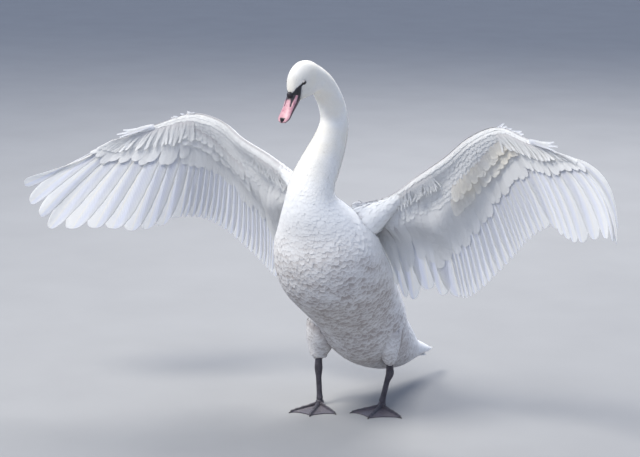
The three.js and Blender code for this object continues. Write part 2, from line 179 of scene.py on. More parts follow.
def welded(name, meshes, voxel, rounds, factor):  # overlapping closed forms made one smooth mesh
    joined = bmesh.new()
    for mesh in meshes:
        joined.from_mesh(mesh)
        bpy.data.meshes.remove(mesh)
    mesh = bpy.data.meshes.new(name)
    joined.to_mesh(mesh)
    joined.free()
    piece = addObject(name, mesh)
    remesh = piece.modifiers.new("weld", "REMESH")
    remesh.mode = "VOXEL"
    remesh.voxel_size = voxel * mm
    even = piece.modifiers.new("even", "SMOOTH")
    even.factor = factor
    even.iterations = rounds
    graph = bpy.context.evaluated_depsgraph_get()
    result = bpy.data.meshes.new_from_object(piece.evaluated_get(graph))
    piece.modifiers.clear()
    piece.data = result
    result.name = name
    bpy.data.meshes.remove(mesh)
    return piece


def pointsOf(piece):  # in millimetres
    co = np.empty(len(piece.data.vertices) * 3, np.float32)
    piece.data.vertices.foreach_get("co", co)
    return co.reshape(-1, 3).astype(float) / mm


def placeInFrame(piece, slot, *replaced):
    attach(piece, "root")
    if replaced:
        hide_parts(*replaced)


def solidPiece(name, mesh, finish, slot, *replaced):
    mesh.shade_smooth()
    mesh.materials.append(finishes[finish])
    piece = addObject(name, mesh)
    placeInFrame(piece, slot, *replaced)
    return piece


# ---- the body's own shape

# y, z, half width, depth on the back's side, depth on the belly's side
spine = [
    [-262, 1043, 30, 30, 28], [-240, 1034, 34, 36, 36], [-212, 1014, 37, 35, 38],  # nape
    [-173, 962, 39, 39, 39], [-156, 907, 41, 44, 41], [-176, 853, 48, 54, 48],
    [-220, 797, 58, 62, 57], [-266, 742, 66, 66, 64], [-277, 689, 80, 71, 72],  # neck meets breast
    [-250, 630, 118, 90, 100], [-205, 555, 160, 128, 145], [-165, 470, 172, 144, 152],
    [-104, 403, 162, 144, 140], [-40, 332, 141, 138, 130], [19, 256, 130, 134, 128],
    [98, 197, 102, 108, 106], [199, 144, 66, 78, 74], [272, 114, 42, 44, 38],  # tail root
]
skull = [
    [-367, 998, 18, 20, 23], [-355, 1014, 25, 33, 35], [-338, 1030, 31, 51, 47],  # eyes
    [-316, 1042, 34, 56, 50], [-288, 1046, 35, 50, 50], [-262, 1043, 33, 39, 44],
]
overTail = [[312, 106, 36, 29, 24], [346, 98, 28, 21, 16], [380, 90, 18, 12, 8], [404, 85, 9, 5, 3]]
# one run of sections: bill's base at 0, nape at 6, breast at 13, tail's root at 22, tail's end at 26
torso = skull + spine[1:] + overTail
coatDepth = {"head": 2.4, "neck": 4.0, "trunk": 8.0, "tail": 3.0, "thigh": 5.0, "wing": 5.0}


def torsoDepth(u):  # of the coat over the skin
    head, neck, trunk, tailEnd = (coatDepth[part] for part in ("head", "neck", "trunk", "tail"))
    return np.interp(u, [4, 7, 12, 15, 22, 26], [head, neck, neck, trunk, trunk, tailEnd])


def bodySurface(sections):
    sections = np.asarray(sections, float)

    def place(u, angle, height):
        y, z, half, above, below = np.moveaxis(along(sections, u), -1, 0)
        ahead = along(sections, np.minimum(u + 0.9, len(sections) - 1))
        way = unit((ahead - along(sections, np.maximum(u - 0.9, 0)))[..., :2])
        s, c = np.sin(angle), np.cos(angle)
        depth = (np.where(s >= 0, above, below) + height) * s
        return np.stack([c * (half + height), y - way[..., 1] * depth, z + way[..., 0] * depth], -1)

    return place


def limbSurface(stations):
    stations = np.asarray(stations, float)

    def place(u, angle, height):
        here = along(stations, u)
        last = len(stations) - 1
        step = along(stations, np.minimum(u + 0.05, last)) - along(stations, np.maximum(u - 0.05, 0))
        way = unit(step[..., :3])
        side = unit(np.array([1.0, 0, 0]) - way * way[..., :1])
        up = np.cross(way, side)
        reach = (here[..., 3] + height)[..., None]
        c, s = np.cos(angle)[..., None], np.sin(angle)[..., None]
        return here[..., :3] + reach * (c * side + s * up)

    return place


# ---- the wings' own shape

featherCount, elbowAt, wristAt = 35, 5, 25  # five tertials, twenty secondaries, ten primaries
# "edge" and "tips": feather number, then x away from the body, y, z; "shoulder": x, y, z, radius
wings = {
    "left": {
        "edge": [[0, 40, -95, 650], [2.5, 165, -110, 692], [5, 262, -114, 762], [12, 352, -116, 826],
                 [18, 432, -118, 892], [25, 525, -118, 930], [29, 636, -155, 912], [35, 762, -214, 892]],
        "tips": [[0, 96, -50, 470], [0.5, 150, -55, 420], [1.5, 180, -44, 376], [2.5, 206, -32, 370],
                 [3.5, 250, -20, 404], [4.5, 290, -12, 390], [5.5, 346, -10, 392], [7.5, 374, -10, 393],
                 [10.5, 417, -10, 422], [13.5, 470, -15, 475], [16.5, 540, -40, 541],
                 [20.5, 607, -90, 603], [24.5, 705, -165, 670], [25.5, 763, -218, 686],
                 [26.5, 790, -238, 676], [27.5, 822, -260, 672], [28.5, 852, -280, 670],
                 [29.5, 887, -300, 678], [30.5, 945, -345, 702], [31.5, 988, -370, 714],
                 [32.5, 1010, -374, 710], [33.5, 1016, -364, 702], [34.5, 1024, -376, 750],
                 [35, 1022, -378, 770]],
        "alula": [[618, -158, 910], [758, -222, 904]],
        "outerBow": 0.22,
        "shoulder": [[68, -164, 588, 62], [120, -140, 623, 46], [168, -116, 663, 25], [224, -102, 712, 11]],
    },
    "right": {
        "edge": [[0, 40, -95, 640], [2.5, 165, -110, 712], [5, 262, -116, 768], [12, 360, -120, 812],
                 [18, 440, -120, 860], [25, 548, -122, 874], [29, 640, -152, 842], [35, 768, -222, 782]],
        "tips": [[0, 110, 0, 400], [0.5, 165, 20, 362], [2.5, 275, 46, 340], [4.5, 351, 35, 352],
                 [7.5, 384, 40, 374], [10.5, 426, 35, 408], [13.5, 474, 25, 446], [16.5, 522, 0, 490],
                 [20.5, 563, -50, 527], [24.5, 601, -125, 540], [25.5, 634, -170, 518],
                 [26.5, 665, -210, 510], [27.5, 698, -246, 507], [28.5, 750, -278, 513],
                 [29.5, 794, -308, 515], [30.5, 861, -338, 510], [31.5, 930, -365, 508],
                 [32.5, 956, -378, 549], [33.5, 990, -385, 587], [34.5, 1006, -390, 645],
                 [35, 1008, -391, 668]],
        "alula": [[625, -160, 842], [754, -224, 796]],
        "outerBow": 0.1,
        "shoulder": [[64, -150, 586, 62], [118, -122, 635, 46], [176, -105, 691, 25], [236, -106, 740, 13]],
    },
}

# the gaps between neighbouring tips, the sheet's half thickness from root to tip, and how it bends
notches = {"first": 26, "tertial": 32, "elbow": 60, "secondary": 13, "primary": (20, 78)}
flesh = {"edge": (26, 8), "edgeFade": 0.22, "nose": 0.03,
         "bone": (30, 7), "boneWidth": 0.16, "sheet": (3.4, 1.2)}
bend = {"leastBow": 0.03, "arch": 0.1}


def notchDepth(number):  # how far the gap beside each feather cuts in
    number = np.asarray(number, float)
    tertial = np.where(number <= 1, notches["first"], notches["tertial"])
    secondary = np.where(number < elbowAt + 0.5, notches["elbow"], notches["secondary"])
    primary = mix(*notches["primary"], np.clip((number - wristAt - 4) / 4, 0, 1))
    return np.where(number >= wristAt, primary, np.where(number < elbowAt, tertial, secondary))


def halfThickness(number, share):
    outward = number / featherCount
    edgeRadius = mix(*flesh["edge"], smooth(outward, 0.05, 0.85))
    armShare = np.clip((number - elbowAt) / 18, 0, 1)
    boneAt = np.where(number < elbowAt, mix(0.12, 0.4, number / elbowAt), mix(0.4, 0.08, armShare))
    boneRadius = mix(*flesh["bone"], smooth(outward, 0, 1))
    nose = np.sqrt(1 - (1 - np.clip(share / flesh["nose"], 0, 1)) ** 2)  # closes round the leading edge
    share = np.maximum(share, 0)
    edge = edgeRadius * np.exp(-share / flesh["edgeFade"]) * np.minimum(1, np.sqrt(share / 0.07 + 0.06))
    bone = boneRadius * np.exp(-(((share - boneAt) / flesh["boneWidth"]) ** 2)) * np.minimum(1, share / 0.06)
    return np.maximum(mix(*flesh["sheet"], np.minimum(share, 1)), np.hypot(edge, bone)) * nose


def wingFrame(wing, number, share):  # the point on the wing's middle sheet, and the way to its upper side
    number = np.clip(number, 0.02, featherCount - 0.02)
    root = sampled(wing["edge"], number)
    tip = sampled(wing["tips"], number)
    chord = tip - root
    ahead = sampled(wing["edge"], np.minimum(number + 0.5, featherCount))
    spanwise = ahead - sampled(wing["edge"], np.maximum(number - 0.5, 0))
    dorsal = unit(np.cross(spanwise, chord))
    outwards = unit(np.cross(chord, dorsal))
    reach = np.linalg.norm(chord, axis=-1, keepdims=True)
    bow = wing["outerBow"] * smooth(number, wristAt, featherCount) + bend["leastBow"]
    control = (root + tip) / 2 + outwards * bow[..., None] * reach + dorsal * bend["arch"] * reach
    s = np.asarray(share, float)[..., None]
    point = root * (1 - s) ** 2 + control * 2 * s * (1 - s) + tip * s * s
    return point, dorsal


def wingSurface(name, face):  # face is 1 on the upper side and -1 underneath
    def place(share, number, height):
        point, dorsal = wingFrame(wings[name], number, np.maximum(share, 0))
        lift = face * (halfThickness(number, share) + height)
        return (point + dorsal * lift[..., None]) * sided(name)

    return place


# ---- the legs' own shape

# "thigh" and "cuff": x, y, z, radius; "toes": each toe's heading, in degrees from straight ahead
legs = {
    "left": {
        "thigh": [[78, 0, 255, 62], [92, 0, 205, 42], [98, 2, 172, 27], [97, 6, 152, 19]],
        "cuff": [[96, 8, 146, 13.0], [95, 9, 143, 10.4]],
        "hock": (88, 20, 113), "sole": (70, 6, 0),
        "toes": {"inner": -24, "middle": 13, "outer": 60},
    },
    "right": {
        "thigh": [[-96, -46, 268, 64], [-108, -54, 213, 52], [-116, -60, 170, 32], [-116, -62, 152, 25]],
        "cuff": [[-116, -63, 145, 17.0], [-115, -64, 141, 11.4]],
        "hock": (-113, -71, 119), "sole": (-104, -76, 0),
        "toes": {"inner": 59, "middle": 20, "outer": -13},
    },
}
toeSizes = {"inner": (108, 6), "middle": (120, 7), "outer": (120, 6.5)}  # length, half width

# ---- materials


def setInput(tree, socket, value):  # links another node's output, or sets a plain value
    if isinstance(value, bpy.types.NodeSocket):
        tree.links.new(value, socket)
    else:
        socket.default_value = value


def feed(tree, target, **inputs):  # inputs by name, or i0, i1 by number
    for key, value in inputs.items():
        numbered = key[0] == "i" and key[1:].isdigit()
        setInput(tree, target.inputs[int(key[1:]) if numbered else key.replace("_", " ")], value)


def node(tree, kind, settings=None, **inputs):
    made = tree.nodes.new(kind)
    for key, value in (settings or {}).items():
        setattr(made, key, value)
    feed(tree, made, **inputs)
    return made


def newMaterial(name, colour, roughness, **inputs):
    material = bpy.data.materials.new(name)
    material.use_nodes = True
    tree = material.node_tree
    shader = tree.nodes["Principled BSDF"]
    feed(tree, shader, Base_Color=(*colour, 1), Roughness=roughness, **inputs)
    return material, tree, shader


def ramp(tree, value, *stops):
    made = node(tree, "ShaderNodeValToRGB", Fac=value)
    elements = made.color_ramp.elements
    while len(elements) < len(stops):
        elements.new(0.5)
    for element, (place, colour) in zip(elements, stops):
        element.position = place
        element.color = (*colour, 1)
    return made.outputs["Color"]


def levels(tree, value, *stops):  # a ramp of greys
    return ramp(tree, value, *((place, (level, level, level)) for place, level in stops))


def calc(tree, operation, a, b=0.0, c=0.0):
    return node(tree, "ShaderNodeMath", {"operation": operation}, i0=a, i1=b, i2=c).outputs[0]


def times(tree, first, *others):
    for other in others:
        first = calc(tree, "MULTIPLY", first, other)
    return first


def blend(tree, mode, factor, a, b):
    made = node(tree, "ShaderNodeMix", {"data_type": "RGBA", "blend_type": mode})
    for number, value in ((0, factor), (6, a), (7, b)):
        setInput(tree, made.inputs[number], (*value, 1) if isinstance(value, tuple) else value)
    return made.outputs[2]


def noise(tree, place, scale, detail=3.0, roughness=0.5):
    made = node(tree, "ShaderNodeTexNoise", Scale=scale, Detail=detail, Roughness=roughness, Vector=place)
    return made.outputs["Fac"]


def cells(tree, place, scale, feature="F1"):
    made = node(tree, "ShaderNodeTexVoronoi", {"feature": feature}, Scale=scale, Vector=place)
    return made.outputs["Distance"]


def bump(tree, strength, distance, height):
    return node(tree, "ShaderNodeBump", Strength=strength, Distance=distance, Height=height).outputs[0]


def objectPlace(tree):
    return node(tree, "ShaderNodeTexCoord").outputs["Object"]


def stretched(tree, place, scale):
    return node(tree, "ShaderNodeMapping", Scale=scale, Vector=place).outputs[0]


def axes(tree, vector):
    return node(tree, "ShaderNodeSeparateXYZ", Vector=vector).outputs


def attribute(tree, name, output="Fac"):
    return node(tree, "ShaderNodeAttribute", {"attribute_name": name}).outputs[output]


def barbLines(tree, alongVane, acrossVane, density, slant):  # fine slanting lines on both sides of the shaft
    slope = times(tree, calc(tree, "ABSOLUTE", acrossVane), slant)
    return calc(tree, "SINE", calc(tree, "SUBTRACT", times(tree, alongVane, density), slope))


def letThrough(tree, shader, colour, normal, share):  # thin vanes pass some light
    through = node(tree, "ShaderNodeBsdfTranslucent", Color=colour, Normal=normal)
    both = node(tree, "ShaderNodeMixShader", Fac=share, i1=shader.outputs[0], i2=through.outputs[0])
    feed(tree, tree.nodes["Material Output"], Surface=both.outputs[0])


plumageLook = {
    # root is painted shade: each feather is greyer at its base, where it lies under its neighbours
    "white": (0.87, 0.87, 0.86), "root": (0.70, 0.68, 0.68), "dirtAndShade": (0.40, 0.36, 0.34),
    # the blue-white on the next line is painted lavender shade for the flight feathers' vanes
    "cream": (0.85, 0.80, 0.69), "lavenderShade": (0.78, 0.80, 0.88), "shaft": (0.88, 0.86, 0.81),
    # pairs of a place and an amount; heights in metres over the ground
    "creamPatches": ((0.38, 0.25), (0.66, 1.0)), "creamRise": 0.2,
    # dirt and painted shade: low on the body and towards the belly the plumage is darker, partly from dirt
    # and partly as painted shadow
    "dirtAndShadeHeights": ((0.12, 1.0), (0.40, 0.92), (0.50, 0.7), (0.66, 0.0)),
    "dirtAndShadeBehind": ((0.40, 1.0), (0.64, 0.0)), "dirtAndShadeEdges": ((0.66, 1.0), (0.84, 0.7), (0.97, 0.46)),
    "dirtAndShadeSpots": ((0.36, 0.52), (0.64, 1.0)), "spotScale": (15.0, 15.0, 38.0),
}


def creamed(tree, place, colour, cream, creamFrom):  # soft cream patches from a height upwards: partly the plumage's own buff stain, partly painted warm sunlight
    look = plumageLook
    patches = levels(tree, noise(tree, place, 9.0, 2.0), *look["creamPatches"])
    upper = levels(tree, axes(tree, place)[2], (creamFrom, 0.15), (creamFrom + look["creamRise"], 1.0))
    return blend(tree, "MIX", times(tree, patches, upper, cream), colour, look["cream"])


def dirtiedAndShaded(tree, place, alongVane, colour, dirtAndShade):  # darker low down and on the side away from the back: partly dirt on the plumage, partly painted shade on the belly
    look = plumageLook
    _, y, z = axes(tree, place)
    # how far towards the back from the body's axis, which runs down from the breast to the tail
    behind = calc(tree, "ADD", times(tree, y, 1.43), calc(tree, "MULTIPLY_ADD", z, 1.40, 0.014))
    spots = noise(tree, stretched(tree, place, look["spotScale"]), 1.0, 5.0, 0.65)
    low = levels(tree, z, *look["dirtAndShadeHeights"])
    patchy = levels(tree, spots, *look["dirtAndShadeSpots"])
    edges = levels(tree, alongVane, *look["dirtAndShadeEdges"])  # the tips stay lighter
    under = levels(tree, behind, *look["dirtAndShadeBehind"])
    return blend(tree, "MIX", times(tree, low, patchy, edges, dirtAndShade, under), colour, look["dirtAndShade"])


def plumageMaterial(name, cream=0.0, creamFrom=0.0, dirtAndShade=0.0, barbs=60.0, relief=0.25, glow=0.0):
    look = plumageLook
    material, tree, shader = newMaterial(name, look["white"], 0.78, Sheen_Weight=0.12, Sheen_Roughness=0.5,
                                         Specular_IOR_Level=0.25)
    alongVane, acrossVane, chance = axes(tree, attribute(tree, "vane", "Vector"))
    place = objectPlace(tree)
    # painted shade: darker at each feather's root, where the neighbours overlap it
    colour = ramp(tree, alongVane, (0.0, look["root"]), (0.45, look["white"]), (1.0, look["white"]))
    colour = blend(tree, "MULTIPLY", 1.0, colour, levels(tree, chance, (0.0, 0.93), (1.0, 1.0)))
    if cream:
        colour = creamed(tree, place, colour, cream, creamFrom)
    if dirtAndShade:
        colour = dirtiedAndShaded(tree, place, alongVane, colour, dirtAndShade)
    lines = barbLines(tree, alongVane, acrossVane, barbs, barbs * 0.4)
    height = calc(tree, "ADD", times(tree, lines, 0.5), noise(tree, place, 420.0, 2.0))
    normal = bump(tree, relief, 0.0006, height)
    rough = levels(tree, noise(tree, place, 60.0, 2.0), (0.3, 0.7), (0.7, 0.86))
    feed(tree, shader, Base_Color=colour, Normal=normal, Roughness=rough)
    if glow:
        letThrough(tree, shader, colour, normal, glow)
    return material


def flightMaterial(name, glow):
    look = plumageLook
    material, tree, shader = newMaterial(name, look["white"], 0.6, Sheen_Weight=0.1, Specular_IOR_Level=0.3)
    alongVane, acrossVane, chance = axes(tree, attribute(tree, "vane", "Vector"))
    fromEdge = calc(tree, "MULTIPLY_ADD", acrossVane, 0.5, 0.5)
    # across each vane a band of painted lavender shade lies between the white edge and the white shaft
    vane = ramp(tree, fromEdge, (0.0, look["white"]), (0.28, look["lavenderShade"]), (0.49, look["white"]),
                (1.0, look["white"]))
    colour = blend(tree, "MIX", 0.75, look["white"], vane)
    colour = blend(tree, "MULTIPLY", 1.0, colour, levels(tree, chance, (0.0, 0.95), (1.0, 1.0)))
    shaft = levels(tree, calc(tree, "ABSOLUTE", acrossVane), (0.0, 1.0), (0.035, 0.9), (0.06, 0.0))
    colour = blend(tree, "MIX", shaft, colour, look["shaft"])
    # soft patches of painted lavender shade
    lavenderShadePatches = levels(tree, noise(tree, objectPlace(tree), 26.0, 4.0, 0.6), (0.52, 0.0), (0.8, 0.35))
    colour = blend(tree, "MIX", lavenderShadePatches, colour, look["lavenderShade"])
    fine = times(tree, barbLines(tree, alongVane, acrossVane, 900.0, 120.0), 0.3)
    coarse = times(tree, barbLines(tree, alongVane, acrossVane, 210.0, 34.0), 0.5)
    normal = bump(tree, 0.22, 0.0005, calc(tree, "ADD", fine, coarse))
    feed(tree, shader, Base_Color=colour, Normal=normal)
    letThrough(tree, shader, colour, normal, glow)
    return material


billLook = {
    "pink": (0.47, 0.18, 0.225), "pale": (0.67, 0.40, 0.43),
    "black": (0.010, 0.008, 0.010), "soft": (0.035, 0.026, 0.034),
}
skinColours = {  # each between two shades
    "down": ((0.52, 0.50, 0.49), (0.74, 0.73, 0.71)), "bare": ((0.012, 0.011, 0.013), (0.035, 0.032, 0.036)),
}


def skinMaterial():  # under the coat it is pale, on the lores it is bare and black
    material, tree, shader = newMaterial("bareAndDownySkin", (0.7, 0.66, 0.62), 0.6)
    place = objectPlace(tree)
    dark = attribute(tree, "dark")
    down, bare = (ramp(tree, noise(tree, place, scale, detail), *zip((0.3, 0.7), skinColours[part]))
                  for part, scale, detail in (("down", 130.0, 3.0), ("bare", 260.0, 4.0)))
    rosy = ramp(tree, noise(tree, place, 85.0, 4.0), (0.3, billLook["pink"]), (0.68, billLook["pale"]))
    colour = blend(tree, "MIX", attribute(tree, "rosy"), blend(tree, "MIX", dark, down, bare), rosy)
    feed(tree, shader, Base_Color=colour, Normal=bump(tree, 0.35, 0.0006, cells(tree, place, 520.0)),
         Roughness=levels(tree, dark, (0.0, 0.8), (1.0, 0.42)))
    return material


legLook = {
    "dark": (0.024, 0.021, 0.028), "mid": (0.074, 0.064, 0.080), "web": (0.098, 0.086, 0.108),
    "mud": (0.10, 0.08, 0.065),
}


def legMaterial():
    look = legLook
    material, tree, shader = newMaterial("scaledLegSkin", look["mid"], 0.5, Coat_Weight=0.12)
    place = objectPlace(tree)
    scales, fine = (cells(tree, place, scale, "DISTANCE_TO_EDGE") for scale in (270.0, 620.0))
    patches = noise(tree, place, 48.0, 4.0, 0.6)
    colour = ramp(tree, patches, (0.3, look["dark"]), (0.62, look["mid"]), (0.8, look["mid"]))
    colour = blend(tree, "MIX", times(tree, attribute(tree, "web"), 0.85), colour, look["web"])
    colour = blend(tree, "MULTIPLY", 0.8, colour, levels(tree, scales, (0.0, 0.45), (0.09, 1.0)))
    mud = levels(tree, noise(tree, place, 70.0, 5.0, 0.7), (0.56, 0.0), (0.74, 0.6))
    colour = blend(tree, "MIX", mud, colour, look["mud"])
    height = calc(tree, "ADD", calc(tree, "MINIMUM", times(tree, scales, 6.0), 1.0), times(tree, fine, 1.5))
    feed(tree, shader, Base_Color=colour, Normal=bump(tree, 0.55, 0.0007, height),
         Roughness=levels(tree, patches, (0.3, 0.36), (0.75, 0.6)))
    return material


def hornMaterial(name, light, deep, roughness):
    look = billLook
    material, tree, shader = newMaterial(name, light, roughness, Coat_Weight=0.2, Coat_Roughness=0.3)
    place = objectPlace(tree)
    cloud = noise(tree, place, 85.0, 4.0, 0.6)
    grain = noise(tree, stretched(tree, place, (260.0, 60.0, 60.0)), 3.0, 4.0, 0.6)
    colour = ramp(tree, cloud, (0.3, deep), (0.68, light))
    colour = blend(tree, "MULTIPLY", 0.35, colour, levels(tree, grain, (0.3, 0.7), (0.7, 1.0)))
    black = ramp(tree, noise(tree, place, 180.0, 3.0), (0.3, look["black"]), (0.75, look["soft"]))
    colour = blend(tree, "MIX", attribute(tree, "dark"), colour, black)
    height = calc(tree, "ADD", grain, times(tree, cells(tree, place, 700.0), 0.3))
    feed(tree, shader, Base_Color=colour, Normal=bump(tree, 0.3, 0.0005, height),
         Roughness=levels(tree, cloud, (0.3, roughness - 0.06), (0.7, roughness + 0.14)))
    return material


eyeColours = {
    "base": (0.02, 0.012, 0.008), "iris": ((0.030, 0.014, 0.007), (0.075, 0.036, 0.018)),
    "pupil": (0.003, 0.003, 0.003), "rim": (0.006, 0.005, 0.005),
}


def eyeMaterial():
    look = eyeColours
    material, tree, shader = newMaterial("eyeball", look["base"], 0.2, Coat_Weight=0.25, Coat_Roughness=0.12)
    place = objectPlace(tree)
    iris = attribute(tree, "iris")
    brown = ramp(tree, noise(tree, place, 900.0), *zip((0.3, 0.7), look["iris"]))
    colour = blend(tree, "MIX", levels(tree, iris, (0.40, 1.0), (0.46, 0.0)), brown, look["pupil"])
    colour = blend(tree, "MIX", levels(tree, iris, (0.80, 0.0), (0.90, 1.0)), colour, look["rim"])
    wet = levels(tree, noise(tree, place, 300.0), (0.4, 0.18), (0.7, 0.26))
    feed(tree, shader, Base_Color=colour, Roughness=wet)
    return material


finishes = {
    # the body's and limbs' plumage carry the dirt and the painted belly shade
    "body": plumageMaterial("bodyPlumage", dirtAndShade=1.4, relief=0.15),
    "limb": plumageMaterial("limbPlumage", dirtAndShade=0.95, relief=0.15),
    # the neck's and head's cream is partly their own buff stain and partly painted warm sunlight
    "neck": plumageMaterial("neckPlumage", cream=1.0, creamFrom=0.68, barbs=18.0, relief=0.12),
    "head": plumageMaterial("headPlumage", cream=0.95, barbs=12.0, relief=0.2),
    "covert": plumageMaterial("covertPlumage", barbs=110.0, glow=0.3),
    # the scallops' cream is painted warm sunlight shining through them
    "sunlitCreamCovert": plumageMaterial("sunlitCreamCoverts", cream=0.8, barbs=110.0, glow=0.3),
    "flight": flightMaterial("flightFeathers", 0.5),
    "skin": skinMaterial(),
    "leg": legMaterial(),
    "pinkHorn": hornMaterial("pinkHorn", billLook["pale"], billLook["pink"], 0.45),
    "blackHorn": hornMaterial("blackHorn", billLook["soft"], billLook["black"], 0.56),
    "claw": hornMaterial("clawHorn", (0.07, 0.06, 0.06), (0.02, 0.018, 0.02), 0.4),
    "eye": eyeMaterial(),
}
print("materials made")

# ---- the skin: one smooth mesh inside the coat, with the bare legs joined to it

# sizes in millimetres; the arm's flesh ends at a feather number, and is never thinner than its least
skinLook = {
    "body": {"voxel": 5.2, "rounds": 7, "factor": 0.5}, "legs": {"voxel": 1.5, "rounds": 3, "factor": 0.4},
    "armEnd": 33.5, "armLeast": 2.6,
}


def loftForm(place, uTo, rings, sides, height=0.0):
    u, angle = np.meshgrid(np.linspace(0, uTo, rings), around(sides), indexing="ij")
    return closedForm(place(u, angle, height(u) if callable(height) else np.full(u.shape, height)))


def shoulderStations(name):
    return np.array(wings[name]["shoulder"], float) * [sideSign[name], 1, 1, 1]


scapular = {"shares": (-0.03, 0.22, 0.5, 0.82), "radii": (20, 29, 24, 8), "inward": 2}


def scapularStations(name):  # along the wing's root, where its inner end lies on the back
    root, tip = (np.array(wings[name][row][0][1:], float) for row in ("edge", "tips"))
    middles = mix(root, tip, np.array(scapular["shares"])[:, None]) - [scapular["inward"], 0, 0]
    return np.column_stack([middles * sided(name), scapular["radii"]])


def armForm(name):  # flesh and bone of a wing, inside its coverts
    number, turn = np.meshgrid(np.linspace(0.1, skinLook["armEnd"], 60), around(28), indexing="ij")
    endShare = mix(0.5, 0.2, smooth(number, 3, 26))
    share = 0.018 + endShare * (0.5 - 0.5 * np.cos(turn))
    thick = np.maximum(halfThickness(number, share) - coatDepth["wing"], skinLook["armLeast"])
    point, dorsal = wingFrame(wings[name], number, share)
    lift = thick * np.sign(np.sin(turn)) * np.abs(np.sin(turn)) ** 0.6
    return closedForm((point + dorsal * lift[..., None]) * sided(name))


# radii, heights and distances in millimetres
shank = {
    "knee": 9.5, "hock": (11.6, 12.4), "ankleHeight": 16.0, "ankle": (12.5, 14.5, 12.5),
    "down": ((0.3, 9.0), (0.55, 8.6), (0.8, 8.8), (0.97, 10.6)),  # share of the way from the hock, radius
}
toe = {
    "at": (0, 0.3, 0.6, 0.85, 1), "width": (1.25, 0.9, 0.86, 0.74, 0.6), "height": (2.1, 1.5, 1.4, 1.2, 1.1),
    "knuckles": (0.3, 0.58, 0.8), "pad": 1.2, "webHeight": 3.1, "webSag": 0.16,
    "hind": ((6, 17, 5.5), (19, 13, 4.4), (31, 7.4, 2.6)),  # distance behind the ankle, height, radius
}


def legStations(leg):  # knee, hock and shank, down to the ankle
    kneeX, kneeY, kneeZ, _ = leg["thigh"][-1]
    hock = np.array(leg["hock"], float)
    ankle = np.array([*leg["sole"][:2], shank["ankleHeight"]])
    down = [[*mix(hock, ankle, share), radius] for share, radius in shank["down"]]
    x, y, z = hock + [0, 2, 0]
    above, below = shank["hock"]
    return [[kneeX, kneeY, kneeZ + 14, shank["knee"]], [x, y, z + 10, above], [x, y, z - 7, below], *down]


def heading(degrees):
    return np.array([math.sin(math.radians(degrees)), -math.cos(math.radians(degrees)), 0.0])


def sideways(way):  # level, and square to a heading
    return np.array([-way[1], way[0], 0.0])


def toeForm(start, end, half):  # a toe lying flat, with its joints swollen
    share, turn = np.linspace(0, 1, 44)[:, None], around(20)[None, :]
    swell = sum(np.exp(-(((share - place) / 0.045) ** 2)) for place in toe["knuckles"])
    width = half * (np.interp(share, toe["at"], toe["width"]) + 0.12 * swell)
    height = half * (np.interp(share, toe["at"], toe["height"]) + 0.18 * swell)
    across = sideways(unit(end - start))
    rings = mix(start, end, share)[:, None, :] + (width * np.cos(turn))[..., None] * across
    rings[..., 2] += np.where(np.sin(turn) > 0, height, toe["pad"]) * np.sin(turn) + toe["pad"]
    return closedForm(rings)


def webForm(sole, tips, behind):  # the sheet between the toes, sagging a little from toe to toe
    rim = [sole + behind, tips[0]]
    t = np.linspace(0, 1, 16)[1:-1, None]
    for tip, following in zip(tips, tips[1:]):
        middle = mix((tip + following) / 2, sole, toe["webSag"])
        rim.extend((1 - t) ** 2 * tip + 2 * t * (1 - t) * middle + t * t * following)
        rim.append(following)
    rim = np.array(rim) * [1, 1, 0]
    return closedForm([rim, rim + [0, 0, toe["webHeight"]]])


def legForms(name):
    leg = legs[name]
    sole = np.array(leg["sole"], float)
    stations = legStations(leg)
    tips = [sole + heading(degrees) * toeSizes[toeName][0] for toeName, degrees in leg["toes"].items()]
    toes = [toeForm(sole, tip, toeSizes[toeName][1]) for toeName, tip in zip(leg["toes"], tips)]
    ahead = heading(leg["toes"]["middle"])
    hind = [[*(sole + [0, 0, z] - ahead * behind), radius] for behind, z, radius in toe["hind"]]
    return [
        loftForm(limbSurface(stations), len(stations) - 1, 60, 24), *toes, webForm(sole, tips, -ahead * 4),
        closedForm(ellipsoidRings(sole + [0, 0, 8], shank["ankle"], 0.0, 24)),
        loftForm(limbSurface(hind), 2, 16, 16),
    ]


def inHead(p):  # the head's faces are split once, and the face's again
    y, z = p[:, 1], p[:, 2]
    return (y < -235) & (z > 955) & (z < 1105) & (y < -150 - (1100 - z) * 0.5)


def onFace(p):
    return (p[:, 1] < -320) & (p[:, 2] > 965) & (p[:, 2] < 1075)


def refine(piece, chosen):
    def change(work):
        centres = np.array([f.calc_center_median() for f in work.faces]) / mm
        edges = {e for f, wanted in zip(work.faces, chosen(centres)) if wanted for e in f.edges}
        bmesh.ops.subdivide_edges(work, edges=list(edges), cuts=1, use_grid_fill=True, smooth=0.6)

    rework(piece.data, change)


eye = {"x": 26.6, "y": -350.0, "z": 1042.5, "radius": 6.4, "flat": 0.84, "bareRing": 6.6}
# y, z seen from the side: the bare patch's corners, the ends of the black line, and the pink wedge's corners
lores = {"eyeFront": (-356.0, 1039.5), "top": (-382.0, 1021.0), "gape": (-352.0, 989.0), "browDip": 9.0,
         "rearCurve": 3.5, "edge": 1.5, "line": ((-347.0, 1042.0), (-366.0, 1029.0)), "lineWidth": 3.0,
         "pink": ((-388.0, 1019.0), (-362.0, 990.0), (-372.0, 985.0))}


def nearLine(p, start, end):  # distance from a line seen from the side
    start, end = np.array(start), np.array(end)
    reach = end - start
    share = np.clip((p[:, 1:] - start) @ reach / (reach @ reach), 0, 1)
    return np.linalg.norm(p[:, 1:] - start - share[:, None] * reach, axis=1)


